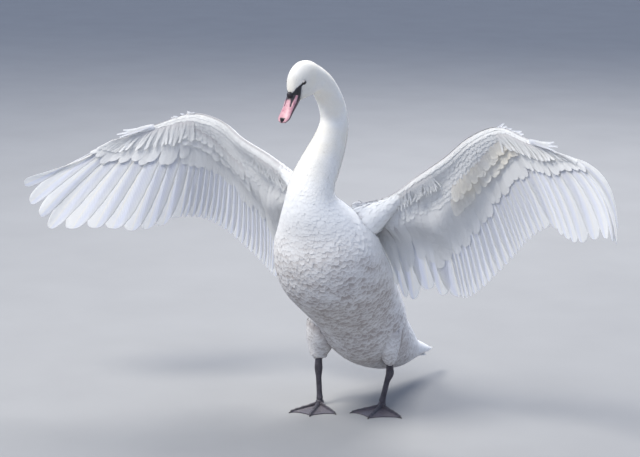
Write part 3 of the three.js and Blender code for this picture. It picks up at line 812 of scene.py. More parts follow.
def loreMask(p):  # 1 on the bare black skin between the eye, the bill's base and the gape
    x, y, z = np.abs(p[:, 0]), p[:, 1], p[:, 2]
    edge = lores["edge"]
    (ey, ez), (ty, tz), (gy, gz) = (lores[corner] for corner in ("eyeFront", "top", "gape"))
    brow = lores["browDip"] * (1 - smooth(x, 5, 18))  # the forehead's feathers come down to a point
    upper = ez + (tz - ez) * (ey - y) / (ey - ty) - brow
    down = (ez - z) / (ez - gz)
    rear = ey + (gy - ey) * down - lores["rearCurve"] * np.sin(np.clip(down, 0, 1) * math.pi)
    patch = smooth(upper - z, -edge, edge) * smooth(rear - y, -edge, edge) * smooth(z, 974, 978)
    line = smooth(lores["lineWidth"] + 0.8 - nearLine(p, *lores["line"]), 0, 1.2)
    return np.maximum(patch, line * (x > 12) * (y < -330))


def pinkMask(p):  # the bill's pink runs up the middle of the lores
    x, y, z = np.abs(p[:, 0]), p[:, 1], p[:, 2]
    top, right, left = (np.array(corner) for corner in lores["pink"])
    nearest = nearLine(p, top, mix(right, left, 0.5)) - 3.4 * smooth(1020 - z, 0, 26)
    return smooth(-nearest, -0.8, 0.8) * smooth(x, 9, 12) * (y < -350) * (z < 1021)


def buildSkin():
    forms = [loftForm(bodySurface(torso), 23.3, 200, 44, lambda u: -torsoDepth(u))]
    for name, leg in legs.items():
        limbs = (leg["thigh"], "thigh"), (shoulderStations(name), "wing"), (scapularStations(name), "wing")
        forms += [loftForm(limbSurface(stations), 3, 30, 28, -coatDepth[coat]) for stations, coat in limbs]
        forms.append(armForm(name))
    piece = welded("skin", forms, **skinLook["body"])
    refine(piece, inHead)
    refine(piece, onFace)
    print("body skin", len(piece.data.polygons), "faces")
    return piece


def buildLegs():
    made = []
    for name in legs:
        piece = welded("leg" + name, legForms(name), **skinLook["legs"])
        p = pointsOf(piece)
        p[:, 2] = np.maximum(p[:, 2], 0)  # flat soles
        piece.data.vertices.foreach_set("co", (p * mm).astype(np.float32).ravel())
        made.append(piece)
    print("legs", [len(piece.data.polygons) for piece in made], "faces")
    return made


def selectOnly(*pieces):
    bpy.ops.object.select_all(action="DESELECT")
    for piece in pieces:
        piece.select_set(True)
    bpy.context.view_layer.objects.active = pieces[0]


def joinPieces(name, *pieces):
    selectOnly(*pieces)
    bpy.ops.object.join()
    pieces[0].name = name
    pieces[0].data.name = name
    return pieces[0]


def unwrap(piece):
    layer = piece.data.uv_layers.new(name="OFBake")
    piece.data.uv_layers.active = layer
    selectOnly(piece)
    bpy.ops.object.mode_set(mode="EDIT")
    bpy.ops.mesh.select_all(action="SELECT")
    bpy.ops.uv.smart_project(angle_limit=math.radians(66), island_margin=0.003)
    bpy.ops.object.mode_set(mode="OBJECT")


bodySkin = buildSkin()
legPieces = buildLegs()
skinFaces = len(bodySkin.data.polygons)
skin = joinPieces("skin", bodySkin, *legPieces)
skin.data.materials.clear()
skin.data.materials.append(finishes["skin"])
skin.data.materials.append(finishes["leg"])
materialIndex = np.zeros(len(skin.data.polygons), np.int32)
materialIndex[skinFaces:] = 1
skin.data.polygons.foreach_set("material_index", materialIndex)
rework(skin.data, lambda work: bmesh.ops.triangulate(work, faces=work.faces))
skin.data.shade_smooth()
unwrap(skin)
skinPoints = pointsOf(skin)
addAttribute(skin, "dark", loreMask(skinPoints))
addAttribute(skin, "rosy", pinkMask(skinPoints))
addAttribute(skin, "web", smooth(skinPoints[:, 2], 5.2, 3.4))  # the low sheet between the toes
placeInFrame(skin, "plumage", "head", "neck_upper", "neck_middle", "neck_lower", "trunk",
             *(f"{part}_{side}" for part in ("thigh", "shank", "foot") for side in sideSign))
print("skin", len(skin.data.polygons), "triangles")

# where any point's nearest skin lies on the skin's map
skinTriangles = np.empty(len(skin.data.polygons) * 3, np.int32)
skin.data.loops.foreach_get("vertex_index", skinTriangles)
skinTriangles = skinTriangles.reshape(-1, 3)
skinMap = np.empty(len(skin.data.loops) * 2, np.float32)
skin.data.uv_layers["OFBake"].data.foreach_get("uv", skinMap)
skinMap = skinMap.reshape(-1, 3, 2)
skinTree = BVHTree.FromPolygons(skinPoints.tolist(), skinTriangles.tolist())


def onSkin(points):  # map place, and height above the skin, of each point
    found = zip(*(skinTree.find_nearest(Vector(p)) for p in points))
    nearest, normal, face, _ = (np.array(part) for part in found)
    a, b, c = (skinPoints[skinTriangles[face, k]] for k in range(3))
    e1, e2, d = b - a, c - a, nearest - a
    g11, g12, g22 = (e1 * e1).sum(1), (e1 * e2).sum(1), (e2 * e2).sum(1)
    d1, d2 = (d * e1).sum(1), (d * e2).sum(1)
    spread = np.maximum(g11 * g22 - g12 * g12, 1e-12)
    v = np.clip((g22 * d1 - g12 * d2) / spread, 0, 1)
    w = np.clip((g11 * d2 - g12 * d1) / spread, 0, 1 - v)
    corners = skinMap[face]
    places = corners[:, 0] * (1 - v - w)[:, None] + corners[:, 1] * v[:, None] + corners[:, 2] * w[:, None]
    return places, ((points - nearest) * normal).sum(1)


# ---- laying feathers on a surface

patchSize = 0.003  # a feather's patch on the skin's map


def featherGrid(plume):  # shares along and across one feather, and its outline
    rows, columns = plume["cells"]
    t, c = np.meshgrid(np.linspace(0, 1, rows + 1), np.linspace(-1, 1, columns + 1), indexing="ij")
    width = mix(plume["rootWidth"], 1.0, np.clip(t / plume["fullAt"], 0, 1) ** 0.7)
    width = width * mix(1.0, plume["tipWidth"], smooth(t, plume["fullAt"], 1))
    dip = plume["round"] * (1 - np.sqrt(1 - (0.97 * np.abs(c)) ** 2)) * t ** 2
    return t, c, width, dip


def layFeathers(place, a, b, length, width, turn, plume, random, low, high):
    # a runs with the lie of the coat, b across it; low and high are the heights of root and tip
    eps = 0.02
    zero = np.zeros_like(a)
    scaleA = np.linalg.norm(place(a + eps, b, zero) - place(a - eps, b, zero), axis=-1) / (2 * eps)
    scaleB = np.linalg.norm(place(a, b + eps, zero) - place(a, b - eps, zero), axis=-1) / (2 * eps)
    step = length / np.maximum(scaleA, 1e-3)
    for _ in range(3):  # the step that gives each feather its own length
        reached = np.linalg.norm(place(a + step, b, zero) - place(a, b, zero), axis=-1)
        step = step * np.clip(length / np.maximum(reached, 1e-3), 0.6, 1.6)
    scaleA = length / step
    t, c, outline, dip = featherGrid(plume)
    sway, curled = random.random(len(a)) - 0.5, 0.6 + 0.8 * random.random(len(a))
    each = (slice(None), None, None)  # one value for each feather, over its whole grid
    a, b, half, length, scaleA, scaleB = (v[each] for v in (a, b, width / 2, length, scaleA, scaleB))
    run = t * length - dip * half
    across = c * outline * half + plume.get("sway", 0) * length * sway[each] * t ** 2
    cosTurn, sinTurn = np.cos(turn)[each], np.sin(turn)[each]
    height = mix(low[each], high[each], t ** plume["rise"]) + plume["curl"] * curled[each] * t ** 4
    height = height - plume["camber"] * c ** 2 * half / 10 * t + plume.get("keel", 0) * (1 - np.abs(c)) ** 2
    gridA = a + (run * cosTurn - across * sinTurn) / np.maximum(scaleA, 1e-3)
    gridB = b + (run * sinTurn + across * cosTurn) / np.maximum(scaleB, 1e-3)
    return place(gridA, gridB, height), t, c


def featherPiece(name, groups, finish, slot="plumage", *replaced):
    # each group is (points, t, c, random number, map place) for feathers of one plume
    allPoints, allFaces, allVane, allPlaces = [], [], [], []
    start = 0
    for points, t, c, chance, places in groups:
        count, rows, columns = points.shape[:3]
        r, k = np.meshgrid(np.arange(rows - 1), np.arange(columns - 1), indexing="ij")
        corner = (r * columns + k).ravel()
        quad = np.stack([corner, corner + 1, corner + columns + 1, corner + columns], 1)
        faces = quad[None] + (np.arange(count) * rows * columns)[:, None, None] + start
        vane = np.empty(points.shape)
        vane[..., 0], vane[..., 1], vane[..., 2] = t[None], c[None], chance[:, None, None]
        patch = np.stack([c * 0.5, t - 0.5], -1) * patchSize
        allPoints.append(points.reshape(-1, 3))
        allFaces.append(faces.reshape(-1, 4))
        allVane.append(vane.reshape(-1, 3))
        allPlaces.append((places[:, None, None, :] + patch[None]).reshape(-1, 2))
        start += count * rows * columns
    piece = makeMesh(name, np.vstack(allPoints), np.vstack(allFaces), finishes[finish])
    addAttribute(piece, "vane", np.vstack(allVane))
    setMap(piece, np.vstack(allPlaces))
    placeInFrame(piece, slot, *replaced)
    print(name, len(piece.data.polygons) * 2, "triangles")


def scatter(place, uFrom, uTo, spacing, random):  # roots spread evenly, none closer than spacing(u)
    steps, sides = 240, 96
    u = mix(uFrom, uTo, np.linspace(0, 1, steps + 1))
    u, angle = np.meshgrid(u, np.linspace(0, full, sides + 1), indexing="ij")
    corners = place(u, angle, np.zeros(u.shape))
    lengthways, sidewards = corners[1:, :-1] - corners[:-1, :-1], corners[:-1, 1:] - corners[:-1, :-1]
    area = np.linalg.norm(np.cross(lengthways, sidewards), axis=-1)
    weight = area / spacing(u[:-1, :-1]) ** 2
    count = int(weight.sum() * 6)
    row, column = np.divmod(random.choice(weight.size, count, p=(weight / weight.sum()).ravel()), sides)
    uAt = mix(uFrom, uTo, (row + random.random(count)) / steps)
    angleAt = (column + random.random(count)) * full / sides
    points = place(uAt, angleAt, np.zeros(count)).tolist()
    tree = KDTree(count)
    for k, point in enumerate(points):
        tree.insert(point, k)
    tree.balance()
    free = [True] * count
    kept = []
    for k, gap in enumerate(spacing(uAt).tolist()):
        if free[k]:
            kept.append(k)
            for _, near, _ in tree.find_range(points[k], gap):
                free[near] = False
    return uAt[kept], angleAt[kept]


def bareFace(p):  # where the head has no feathers
    eyes = np.hypot(np.hypot(p[:, 1] - eye["y"], p[:, 2] - eye["z"]), np.abs(p[:, 0]) - eye["x"])
    return (loreMask(p) > 0.35) | (eyes < eye["bareRing"])


def coatOver(place, uFrom, uTo, plume, seed, bare=None):
    random = np.random.default_rng(seed)
    u, angle = scatter(place, uFrom, uTo, plume["spacing"], random)
    depth = plume["depth"](u)
    at = place(u, angle, -depth)
    places, above = onSkin(at)
    wanted = above > -plume["buried"]
    if bare:
        wanted &= ~bare(at)
    u, angle, depth, places = u[wanted], angle[wanted], depth[wanted], places[wanted]
    size = 0.85 + 0.3 * random.random(len(u))
    length = plume["length"](u) * size
    width = plume["width"](u) * size
    turn = (random.random(len(u)) - 0.5) * plume["turn"]
    low, high = -depth * 0.95, plume["top"] + plume["ruffle"] * (random.random(len(u)) - 0.5)
    points, t, c = layFeathers(place, u, angle, length, width, turn, plume, random, low, high)
    return points, t, c, random.random(len(u)), places


# ---- body, neck and head coats

# the step in sections of the body, the height in millimetres, and the sections where they rise and fade
ripples = {
    "step": 0.27, "height": 3.2, "wobble": 0.42, "crest": 0.8, "rise": (13.4, 15.2), "fade": (21.6, 23.4),
}


def rippled(surface):  # over the lower breast and belly the coat lies in low soft steps
    def place(u, angle, height):
        x, z = np.cos(angle) * 11, np.sin(angle) * 11
        wobble = np.sin(x * 1.3 + 2.1 * np.sin(u * 2.3)) + np.sin(z * 1.7 + x * 0.9 + u * 3.7)
        wobble = wobble + 0.7 * np.sin(x * 3.1 - u * 5.3)
        run = u / ripples["step"] + ripples["wobble"] * wobble
        saw = run - np.floor(run)
        crest = ripples["crest"]
        saw = np.where(saw < crest, saw / crest, (1 - saw) / (1 - crest)) - 0.5
        patchy = 0.65 + 0.35 * np.sin(x * 0.7 + u * 1.9) * np.sin(z * 0.8 - u * 1.3)
        amount = ripples["height"] * smooth(u, *ripples["rise"]) * (1 - smooth(u, *ripples["fade"])) * patchy
        return surface(u, angle, height + amount * saw)

    return place


def varying(at, values):  # a size that changes along a surface
    return lambda u: np.interp(u, at, values)


contour = {
    "cells": (6, 6), "rootWidth": 0.35, "fullAt": 0.5, "tipWidth": 0.85, "round": 0.8, "curl": 0.0,
    "camber": 0.1, "rise": 0.24, "turn": 0.3, "top": -0.4, "ruffle": 0.2, "buried": 3.5, "depth": torsoDepth,
    "spacing": varying([12, 14, 16, 19, 22, 24.6], [5.6, 8.0, 10.5, 10.5, 9.0, 7.0]),
    "length": varying([12, 14, 16, 19, 21, 24.6], [20, 28, 38, 40, 44, 34]),
    "width": varying([12, 14, 16, 19, 22, 24.6], [12, 19, 28, 28, 24, 15]),
}
fineDown = {
    **contour, "cells": (3, 2), "rootWidth": 0.5, "fullAt": 0.4, "tipWidth": 0.64, "round": 0.7, "curl": 0.05,
    "camber": 0.08, "rise": 0.35, "turn": 0.25, "top": -0.3, "ruffle": 0.25,
    "spacing": varying([5, 9, 12.6], [3.2, 4.0, 5.8]), "length": varying([5, 9, 12.6], [12, 16, 21]),
    "width": varying([5, 9, 12.6], [6.6, 9.2, 15]),
}
faceDown = {
    **fineDown, "turn": 0.2, "top": -0.2, "ruffle": 0.3, "curl": 0.15, "buried": 2.5,
    "spacing": varying([0, 2, 5.3], [1.8, 2.2, 3.1]), "length": varying([0, 1.5, 5.3], [5.0, 7.0, 12]),
    "width": varying([0, 2, 5.3], [2.8, 3.8, 6.0]),
}
limbCoat = {
    **contour, "cells": (4, 4), "top": 0.0, "ruffle": 0.5, "buried": 0.8,
    "depth": varying([0], [coatDepth["thigh"]]), "spacing": varying([0, 3], [9.0, 5.0]),
    "length": varying([0, 2, 3], [34, 26, 20]), "width": varying([0, 3], [22, 9]),
}
shoulderCoat = {**limbCoat, "curl": 1.2, "ruffle": 1.4, "turn": 0.5, "buried": 4.0}
scapularCoat = {
    **shoulderCoat, "buried": 6.0, "spacing": varying([0], [9.0]), "length": varying([0, 3], [34, 58]),
    "width": varying([0, 3], [20, 25]),
}
# piece, from and to in sections of the body, its plume, seed and finish
coats = [
    ("coatBreast", 12.6, 17.5, contour, 11, "body"), ("coatBelly", 17.5, 22.0, contour, 12, "body"),
    ("coatRump", 22.0, 25.0, contour, 16, "body"), ("coatNeck", 5.2, 12.65, fineDown, 13, "neck"),
    ("coatHead", 0.25, 5.3, faceDown, 14, "head"),
]

body = rippled(bodySurface(torso))
for name, uFrom, uTo, plume, seed, finish in coats:
    bare = bareFace if name == "coatHead" else None
    featherPiece(name, [coatOver(body, uFrom, uTo, plume, seed, bare)], finish)
limbs = []
for uFrom, uTo, plume, seed, stations in (
        (0.3, 3.1, limbCoat, 17, [leg["thigh"] + leg["cuff"] for leg in legs.values()]),
        (0.0, 2.9, shoulderCoat, 21, [shoulderStations(name) for name in wings]),
        (0.0, 2.8, scapularCoat, 25, [scapularStations(name) for name in wings])):
    limbs += [coatOver(limbSurface(rows), uFrom, uTo, plume, seed + k) for k, rows in enumerate(stations)]
featherPiece("coatLimbs", limbs, "limb")

# ---- flight feathers: closed thin vanes with a raised shaft

# reaches in feather numbers, heights and depths in millimetres; pairs are inner and outer, or root and tip
flight = {
    "rows": 40, "coarseRows": 22, "tipFrom": 0.8, "startShare": 0.06,
    "columns": [-1, -0.985, -0.84, -0.62, -0.4, -0.2, -0.07, 0, 0.09, 0.3, 0.62, 0.975, 1],
    "tilt": 0.014, "camber": 0.008, "uneven": 0.2, "ragged": 0.05, "gapLimits": (20, 34),
    "vane": 0.32, "shaft": (0.9, 0.35), "shaftWidth": 0.05,
    "trail": 0.97, "lead": 0.56, "lastFrom": 33.6, "lastLead": 0.42, "tipPower": (2.6, 3.2), "tipDepth": 0.75,
}


def flightRows():  # shares of the length, closer together towards the tip
    nearTip = 1 - (1 - np.linspace(0, 1, flight["rows"] - flight["coarseRows"] + 1)[1:]) ** 2.2
    coarse = np.linspace(flight["startShare"], flight["tipFrom"], flight["coarseRows"])
    return np.concatenate([coarse, mix(flight["tipFrom"], 1, nearTip)])


def vaneReaches(wing, n, t):  # the gap between two shafts, and how far a vane reaches behind and ahead
    ahead, _ = wingFrame(wing, n + 0.5, t)
    behind, _ = wingFrame(wing, n - 0.5, t)
    gap = np.linalg.norm(ahead - behind, axis=-1)
    fan = np.clip(gap[:, -1:, :] / np.maximum(gap, 6), 1, 2.0) * smooth(t, -0.1, 0.3)
    length = np.linalg.norm(sampled(wing["tips"], n) - sampled(wing["edge"], n), axis=-1)
    power = np.where(n < wristAt, *flight["tipPower"])
    taper = notchDepth(n) * flight["tipDepth"]
    tipRoom = 0.5 * ((1 - t) * length / taper + 1e-4) ** (1 / power)  # each vane narrows towards its tip
    lead = np.where(n > flight["lastFrom"], flight["lastLead"], flight["lead"])
    return gap, np.minimum(flight["trail"] * fan, tipRoom), np.minimum(lead * fan, tipRoom)


def flightRings(name, random):  # a ring round each row: over the top, back along the underside
    wing = wings[name]
    n, t, k = np.meshgrid(np.arange(featherCount) + 0.5, flightRows(), flight["columns"], indexing="ij")
    gap, trail, lead = vaneReaches(wing, n, t)
    ragged = np.sin(t * 46 + n * 5.1) * 0.35 + np.sin(t * 97 + n * 2.3) * 0.25
    s = np.where(k < 0, k * trail, k * lead) * (1 + flight["ragged"] * ragged * (np.abs(k) > 0.9))
    number = np.clip(n + s, 0.02, featherCount - 0.02)
    point, dorsal = wingFrame(wing, number, t)
    step = 0.2  # past the last feather the sheet goes straight on
    inner = np.clip(number - step, 0, 34)
    onwards = wingFrame(wing, inner + step, t)[0] - wingFrame(wing, inner, t)[0]
    point = point + onwards * ((n + s - number) / step)[..., None]
    gap = np.minimum(gap, np.where(n < elbowAt, *flight["gapLimits"]))
    hollow = flight["camber"] * k * k * np.where(k < 0, 1.0, 0.5) * smooth(t, 0.1, 0.5)
    height = gap * (flight["tilt"] * s - hollow)
    height = height + (random.random(featherCount)[:, None, None] - 0.5) * flight["uneven"]
    thick = mix(flight["vane"], mix(*flight["shaft"], t), np.exp(-((k / flight["shaftWidth"]) ** 2)))
    top, under = (point + dorsal * (height + offset)[..., None] for offset in (thick * 0.5, -thick))
    vane = np.stack([t, k, random.random(featherCount)[:, None, None] + 0 * t], -1)
    rings = np.concatenate([top, under[:, :, -2:0:-1]], axis=2)
    return rings * sided(name), np.concatenate([vane, vane[:, :, -2:0:-1]], axis=2)


def flightFeathers(name, seed):
    rings, vane = flightRings(name, np.random.default_rng(seed))
    count, rows, sides = rings.shape[:3]
    j = np.arange(1, len(flight["columns"]) - 2)
    cap = np.stack([j, j + 1, sides - j - 1, sides - j], 1)
    quads = np.vstack([ringFaces(rows, sides), cap[:, ::-1], cap + (rows - 1) * sides])
    if name == "left":
        quads = quads[:, ::-1]
    faces = quads[None] + (np.arange(count) * rows * sides)[:, None, None]
    label = "flightFeathers" + name.capitalize()
    piece = makeMesh(label, rings.reshape(-1, 3), faces.reshape(-1, 4), finishes["flight"])
    addAttribute(piece, "vane", vane.reshape(-1, 3))
    lane = (np.arange(count) + 0.5)[:, None, None]  # each feather has its own strip of the map
    places = np.stack([(lane + vane[..., 1] * 0.42) / count, 0.02 + 0.96 * vane[..., 0]], -1)
    setMap(piece, places.reshape(-1, 2))
    replaced = (f"wing_{name}_{part}" for part in ("upper_arm", "forearm", "hand"))
    placeInFrame(piece, "flight_feathers", *replaced)
    print(label, len(piece.data.polygons) * 2, "triangles")


for k, name in enumerate(wings):
    flightFeathers(name, 31 + k)

# ---- wing coverts, in rows

softVane = {
    "cells": (8, 8), "rootWidth": 0.4, "fullAt": 0.45, "tipWidth": 0.78, "round": 1.25, "curl": 0.5,
    "camber": 0.5, "rise": 0.8, "sway": 0.03, "keel": 0.3,
}
smallVane = {**softVane, "cells": (5, 6), "round": 1.1, "curl": 0.7, "camber": 0.6, "sway": 0.06}
fingerVane = {
    **softVane, "cells": (6, 4), "rootWidth": 0.7, "tipWidth": 0.75, "round": 1.2, "curl": 4.0, "camber": 1.0,
    "sway": 0.1,
}
spikyVane = {
    **softVane, "cells": (5, 2), "rootWidth": 0.8, "tipWidth": 0.3, "round": 1.0, "curl": 5.0, "sway": 0.2,
}
scallopVane = {
    **softVane, "cells": (6, 6), "tipWidth": 0.9, "round": 1.0, "curl": 2.5, "camber": 1.6, "rise": 1.0,
    "sway": 0.12,
}
quillCovert = {**softVane, "cells": (5, 4)}

# from the trailing side to the leading edge: first and last feather number, count, root and tip shares,
# width, plume, heights of root and tip, and how wild; a share is one value, or values at some feather numbers
underRows = [
    (5.4, 24.6, 22, 0.2, ([5, 12, 25], [0.66, 0.62, 0.5]), 34, softVane, -1.5, 1.2),
    (25.3, 33.6, 11, 0.08, ([25, 35], [0.44, 0.34]), 34, softVane, 0.5, 3.4),
    (0.3, 5.2, 9, 0.2, 0.74, 44, softVane, -2, 1.5),
    (2, 25, 34, 0.13, ([0, 12, 25], [0.5, 0.44, 0.33]), 30, softVane, -1.5, 1.6),
    (25, 34.0, 18, 0.05, 0.26, 25, softVane, 0.5, 4.2),
]
overRows = [
    (5.3, 24.7, 22, 0.1, ([5, 25], [0.56, 0.5]), 36, softVane, -1.5, 1.2),
    (25.2, 33.8, 11, 0.06, ([25, 35], [0.46, 0.38]), 34, softVane, 0.5, 3.4),
    (0.2, 5.2, 10, 0.1, 0.62, 48, softVane, -2, 1.5),
    (0.3, 25, 36, 0.06, ([0, 25], [0.42, 0.34]), 30, softVane, -1.5, 1.6),
    (25, 34.2, 18, 0.03, 0.25, 25, softVane, 0.5, 4.2),
]
lesserRows = [  # small feathers in many rows up to the leading edge
    (0.2 + 0.1 * (k % 2), 34.7, 84 + 4 * k, max(end - 0.11, 0.0),
     ([0, 25, 35], [end, end * 0.9, end * 0.75]), ([0, 25, 35], [21, 17, 13]), smallVane, -2.2, 0.9, 0.3)
    for k, end in enumerate(np.linspace(0.30, 0.05, 8))
]
looseRows = [  # fingers and spikes along the underside's leading edge
    (24.0, 31.4, 22, 0.05, 0.27, 9, fingerVane, 0.0, 8.5, 0.6),
    (0.3, 8.0, 64, 0.02, 0.17, 8, spikyVane, -1.0, 7.0, 1.0),
]
scallopRows = [
    (11.0, 25.2, 17, ([11, 18, 25], [0.26, 0.26, 0.16]), ([11, 18, 25], [0.42, 0.41, 0.31]), 29,
     scallopVane, 0.5, 5.5, 0.4),
    (12.0, 25.0, 17, ([12, 18, 25], [0.2, 0.2, 0.12]), ([12, 18, 25], [0.33, 0.33, 0.24]), 27,
     scallopVane, 1.0, 6.0, 0.4),
]
# on the left wing the scallops take a cream tint that is painted sunlight shining through them
scallopFinish = {"left": "sunlitCreamCovert", "right": "covert"}


def covertRow(place, random, first, last, count, rootShare, tipShare, width, plume, low, high, wild=0.12):
    number = np.linspace(first, last, count) + (random.random(count) - 0.5) * 0.35 * (last - first) / count
    number = np.clip(number, 0.05, featherCount - 0.05)
    root, tip, wide = (np.interp(number, *value) if isinstance(value, tuple) else np.full(count, value)
                       for value in (rootShare, tipShare, width))
    zero = np.zeros(count)
    reach = np.linalg.norm(place(root + 0.5, number, zero) - place(root, number, zero), axis=-1) * 2
    length = (tip - root) * reach * (0.92 + 0.16 * random.random(count))
    wide = wide * (0.9 + 0.2 * random.random(count))
    turn = (random.random(count) - 0.5) * wild
    low, high = zero + low, zero + high
    points, t, c = layFeathers(place, root, number, length, wide, turn, plume, random, low, high)
    return points, t, c, random.random(count), onSkin(place(root, number, zero - 2))[0]


def coverts(name, face, rows, seed):
    random = np.random.default_rng(seed)
    place = wingSurface(name, face)
    groups = [covertRow(place, random, *row) for row in rows]
    if face < 0:
        scallops = [covertRow(place, random, *row) for row in scallopRows]
        featherPiece("scallops" + name.capitalize(), scallops, scallopFinish[name])
    featherPiece(("over" if face > 0 else "under") + "Coverts" + name.capitalize(), groups, "covert")


for k, name in enumerate(wings):
    coverts(name, -1, underRows + lesserRows + looseRows, 41 + k)
    coverts(name, 1, overRows + lesserRows, 51 + k)

# ---- the alula: a few stiff feathers on the leading edge, from the wrist outwards

alula = {"width": 14, "shorter": (0.06, 0.3, 0.0, 0.36, 0.18), "fan": 0.07, "apart": 2.5, "step": 1.6,
         "begin": 0.24, "reach": 1.06, "round": 1.6}
wristTuft = {"feathers": 20, "length": (40, 72), "width": 9, "rise": 11, "numbers": (22.3, 26.6)}


def vaneGrid(rows, columns):
    return np.meshgrid(np.linspace(0, 1, rows), np.linspace(-1, 1, columns), indexing="ij")


def roundedRun(t, c, length, half, roundness):  # the way along a vane with a rounded tip
    return t * length - half * roundness * (1 - np.sqrt(1 - (0.96 * c) ** 2)) * t ** 2


def alulaFeathers(name):
    start, end = (np.array(place, float) for place in wings[name]["alula"])
    way = unit(end - start)
    _, dorsal = wingFrame(wings[name], np.array(29.0), np.array(0.1))
    out = unit(np.cross(dorsal, way))
    t, c = vaneGrid(14, 9)
    half = alula["width"] / 2 * mix(0.12, 1, np.clip(t / 0.4, 0, 1) ** 0.7) * mix(1, 0.3, smooth(t, 0.4, 1))
    reach = np.linalg.norm(end - start)
    start = start + way * reach * alula["begin"]
    points = []
    for k, shorter in enumerate(alula["shorter"]):
        length = reach * (alula["reach"] - alula["begin"]) * (1 - shorter)
        run = roundedRun(t, c, length, half, alula["round"])
        aside = c * half + (k - 1) * alula["fan"] * length * t ** 1.5 - alula["apart"] * (k - 2)
        height = alula["step"] * (k - 1.5) - 1.5 * c ** 2 * t + 0.5 * np.exp(-((c / 0.12) ** 2))
        points.append(start + run[..., None] * way - aside[..., None] * out + height[..., None] * dorsal)
    points = np.array(points) * sided(name)
    return points, t, c, np.linspace(0.2, 0.9, len(points)), onSkin(points[:, 0, 4])[0]


def wristFeathers(name, seed):  # loose ones that stand off the leading edge and point outwards
    random = np.random.default_rng(seed)
    wing = wings[name]
    count = wristTuft["feathers"]
    number = np.sort(mix(*wristTuft["numbers"], random.random(count)))
    base, dorsal = wingFrame(wing, number, np.full(count, 0.05))
    further, _ = wingFrame(wing, number + 2.5, np.full(count, 0.02))
    inward, _ = wingFrame(wing, number, np.full(count, 0.25))
    way = unit(unit(further - base) - unit(inward - base) * (0.4 * random.random(count) + 0.05)[:, None])
    length = mix(*wristTuft["length"], random.random(count))[:, None, None]
    t, c = vaneGrid(9, 5)
    half = wristTuft["width"] / 2 * np.sin(math.pi * (0.18 + 0.74 * t)) ** 0.7
    lift = (random.random(count) - 0.35)[:, None, None] * wristTuft["rise"] * t ** 1.6 - 1.2 * c ** 2
    run = (t ** 0.9 - 0.25) * length - half * 0.9 * c ** 2 * t
    base, way, side, dorsal = (v[:, None, None] for v in (base, way, unit(np.cross(dorsal, way)), dorsal))
    points = base + run[..., None] * way + (c * half)[None, ..., None] * side + lift[..., None] * dorsal
    points = points * sided(name)
    return points, t, c, random.random(count), onSkin(points[:, 0, 2])[0]


for k, name in enumerate(wings):
    groups = [alulaFeathers(name), wristFeathers(name, 58 + k)]
    featherPiece("alula" + name.capitalize(), groups, "flight", "flight_feathers")

# ---- tail

tail = {"root": (0, 258, 118), "rootHalfWidth": 12, "halfSpread": 5, "length": 168, "sideLength": 104,
        "droop": 0.22, "drape": 5, "feathers": 19, "width": 27, "round": 1.8}


def tailFeathers(seed):
    random = np.random.default_rng(seed)
    t, c = vaneGrid(20, 9)
    half = tail["width"] / 2 * mix(0.45, 1, np.clip(t / 0.5, 0, 1)) * mix(1.0, 0.16, smooth(t, 0.45, 1))
    points = []
    for place in np.linspace(-1, 1, tail["feathers"]):
        angle = math.radians(tail["halfSpread"] * place)
        length = mix(tail["length"], tail["sideLength"], abs(place) ** 1.3)
        way = unit(np.array([math.sin(angle), math.cos(angle), -tail["droop"]]))
        out = unit(np.array([math.cos(angle), -math.sin(angle), -0.2 * place]))
        root = np.array(tail["root"]) + [place * tail["rootHalfWidth"], 0, -tail["drape"] * place ** 2]
        run = roundedRun(t, c, length, half, tail["round"])
        layer = 3.2 * (1 - abs(place)) - 1.5 * place * c + (random.random() - 0.5)
        height = layer - 1.6 * c ** 2 * t + 0.6 * np.exp(-((c / 0.12) ** 2)) * (1 - 0.7 * t)
        up = np.cross(out, way)
        points.append(root + run[..., None] * way + (c * half)[..., None] * out + height[..., None] * up)
    points = np.array(points)
    return points, t, c, random.random(len(points)), onSkin(points[:, 0, 4])[0]


def tailCoverts(seed, rise, reach, count, width):  # over and under the quills
    random = np.random.default_rng(seed)
    across = (random.random(count) * 2 - 1) * 0.95
    start = random.random(count) * 0.5

    def place(a, b, height):  # a in hundreds of millimetres back from the root, b across
        angle = np.radians(tail["halfSpread"] * b)
        way = unit(np.stack([np.sin(angle), np.cos(angle), np.full_like(b, -tail["droop"])], -1))
        body = mix(30, 0.5, np.clip(a / 1.5, 0, 1)) * mix(1, 0.55, np.abs(np.clip(b, -1.2, 1.2)))
        x, y = b * tail["rootHalfWidth"], np.full_like(b, tail["root"][1] - 10)
        z = tail["root"][2] - tail["drape"] * b ** 2 + rise * (body + height)
        return np.stack([x, y, z], -1) + way * (a * 100)[..., None]

    length = reach * (0.8 + 0.4 * random.random(count)) * (1 - 0.3 * np.abs(across))
    turn = (random.random(count) - 0.5) * 0.3
    wide, low, high = (np.full(count, float(value)) for value in (width, -3, 1))
    points, t, c = layFeathers(place, start, across, length, wide, turn, quillCovert, random, low, high)
    return points, t, c, random.random(count), onSkin(place(start, across, np.zeros(count)))[0]


groups = [tailFeathers(61), tailCoverts(62, 1, 70, 80, 19), tailCoverts(63, -1, 60, 80, 19)]
featherPiece("tailFeathers", groups, "flight", "flight_feathers", "tail")

# ---- bill

# share of the bill's length, half width, height above the axis, depth below it
billHalves = {
    "Upper": [[-0.1, 19, 18, 3], [0.15, 18.5, 16, 3], [0.4, 18, 11, 3], [0.65, 18.5, 7.5, 3],
              [0.85, 18.5, 6, 3], [0.97, 12.5, 4, 2.5], [1.01, 5, 2, 1.5]],
    "Lower": [[-0.1, 16, 1, 20], [0.2, 16, 1, 17], [0.5, 16, 1, 12.5], [0.8, 16, 1, 8.5],
              [0.95, 9.5, 0.7, 4.5]],
}
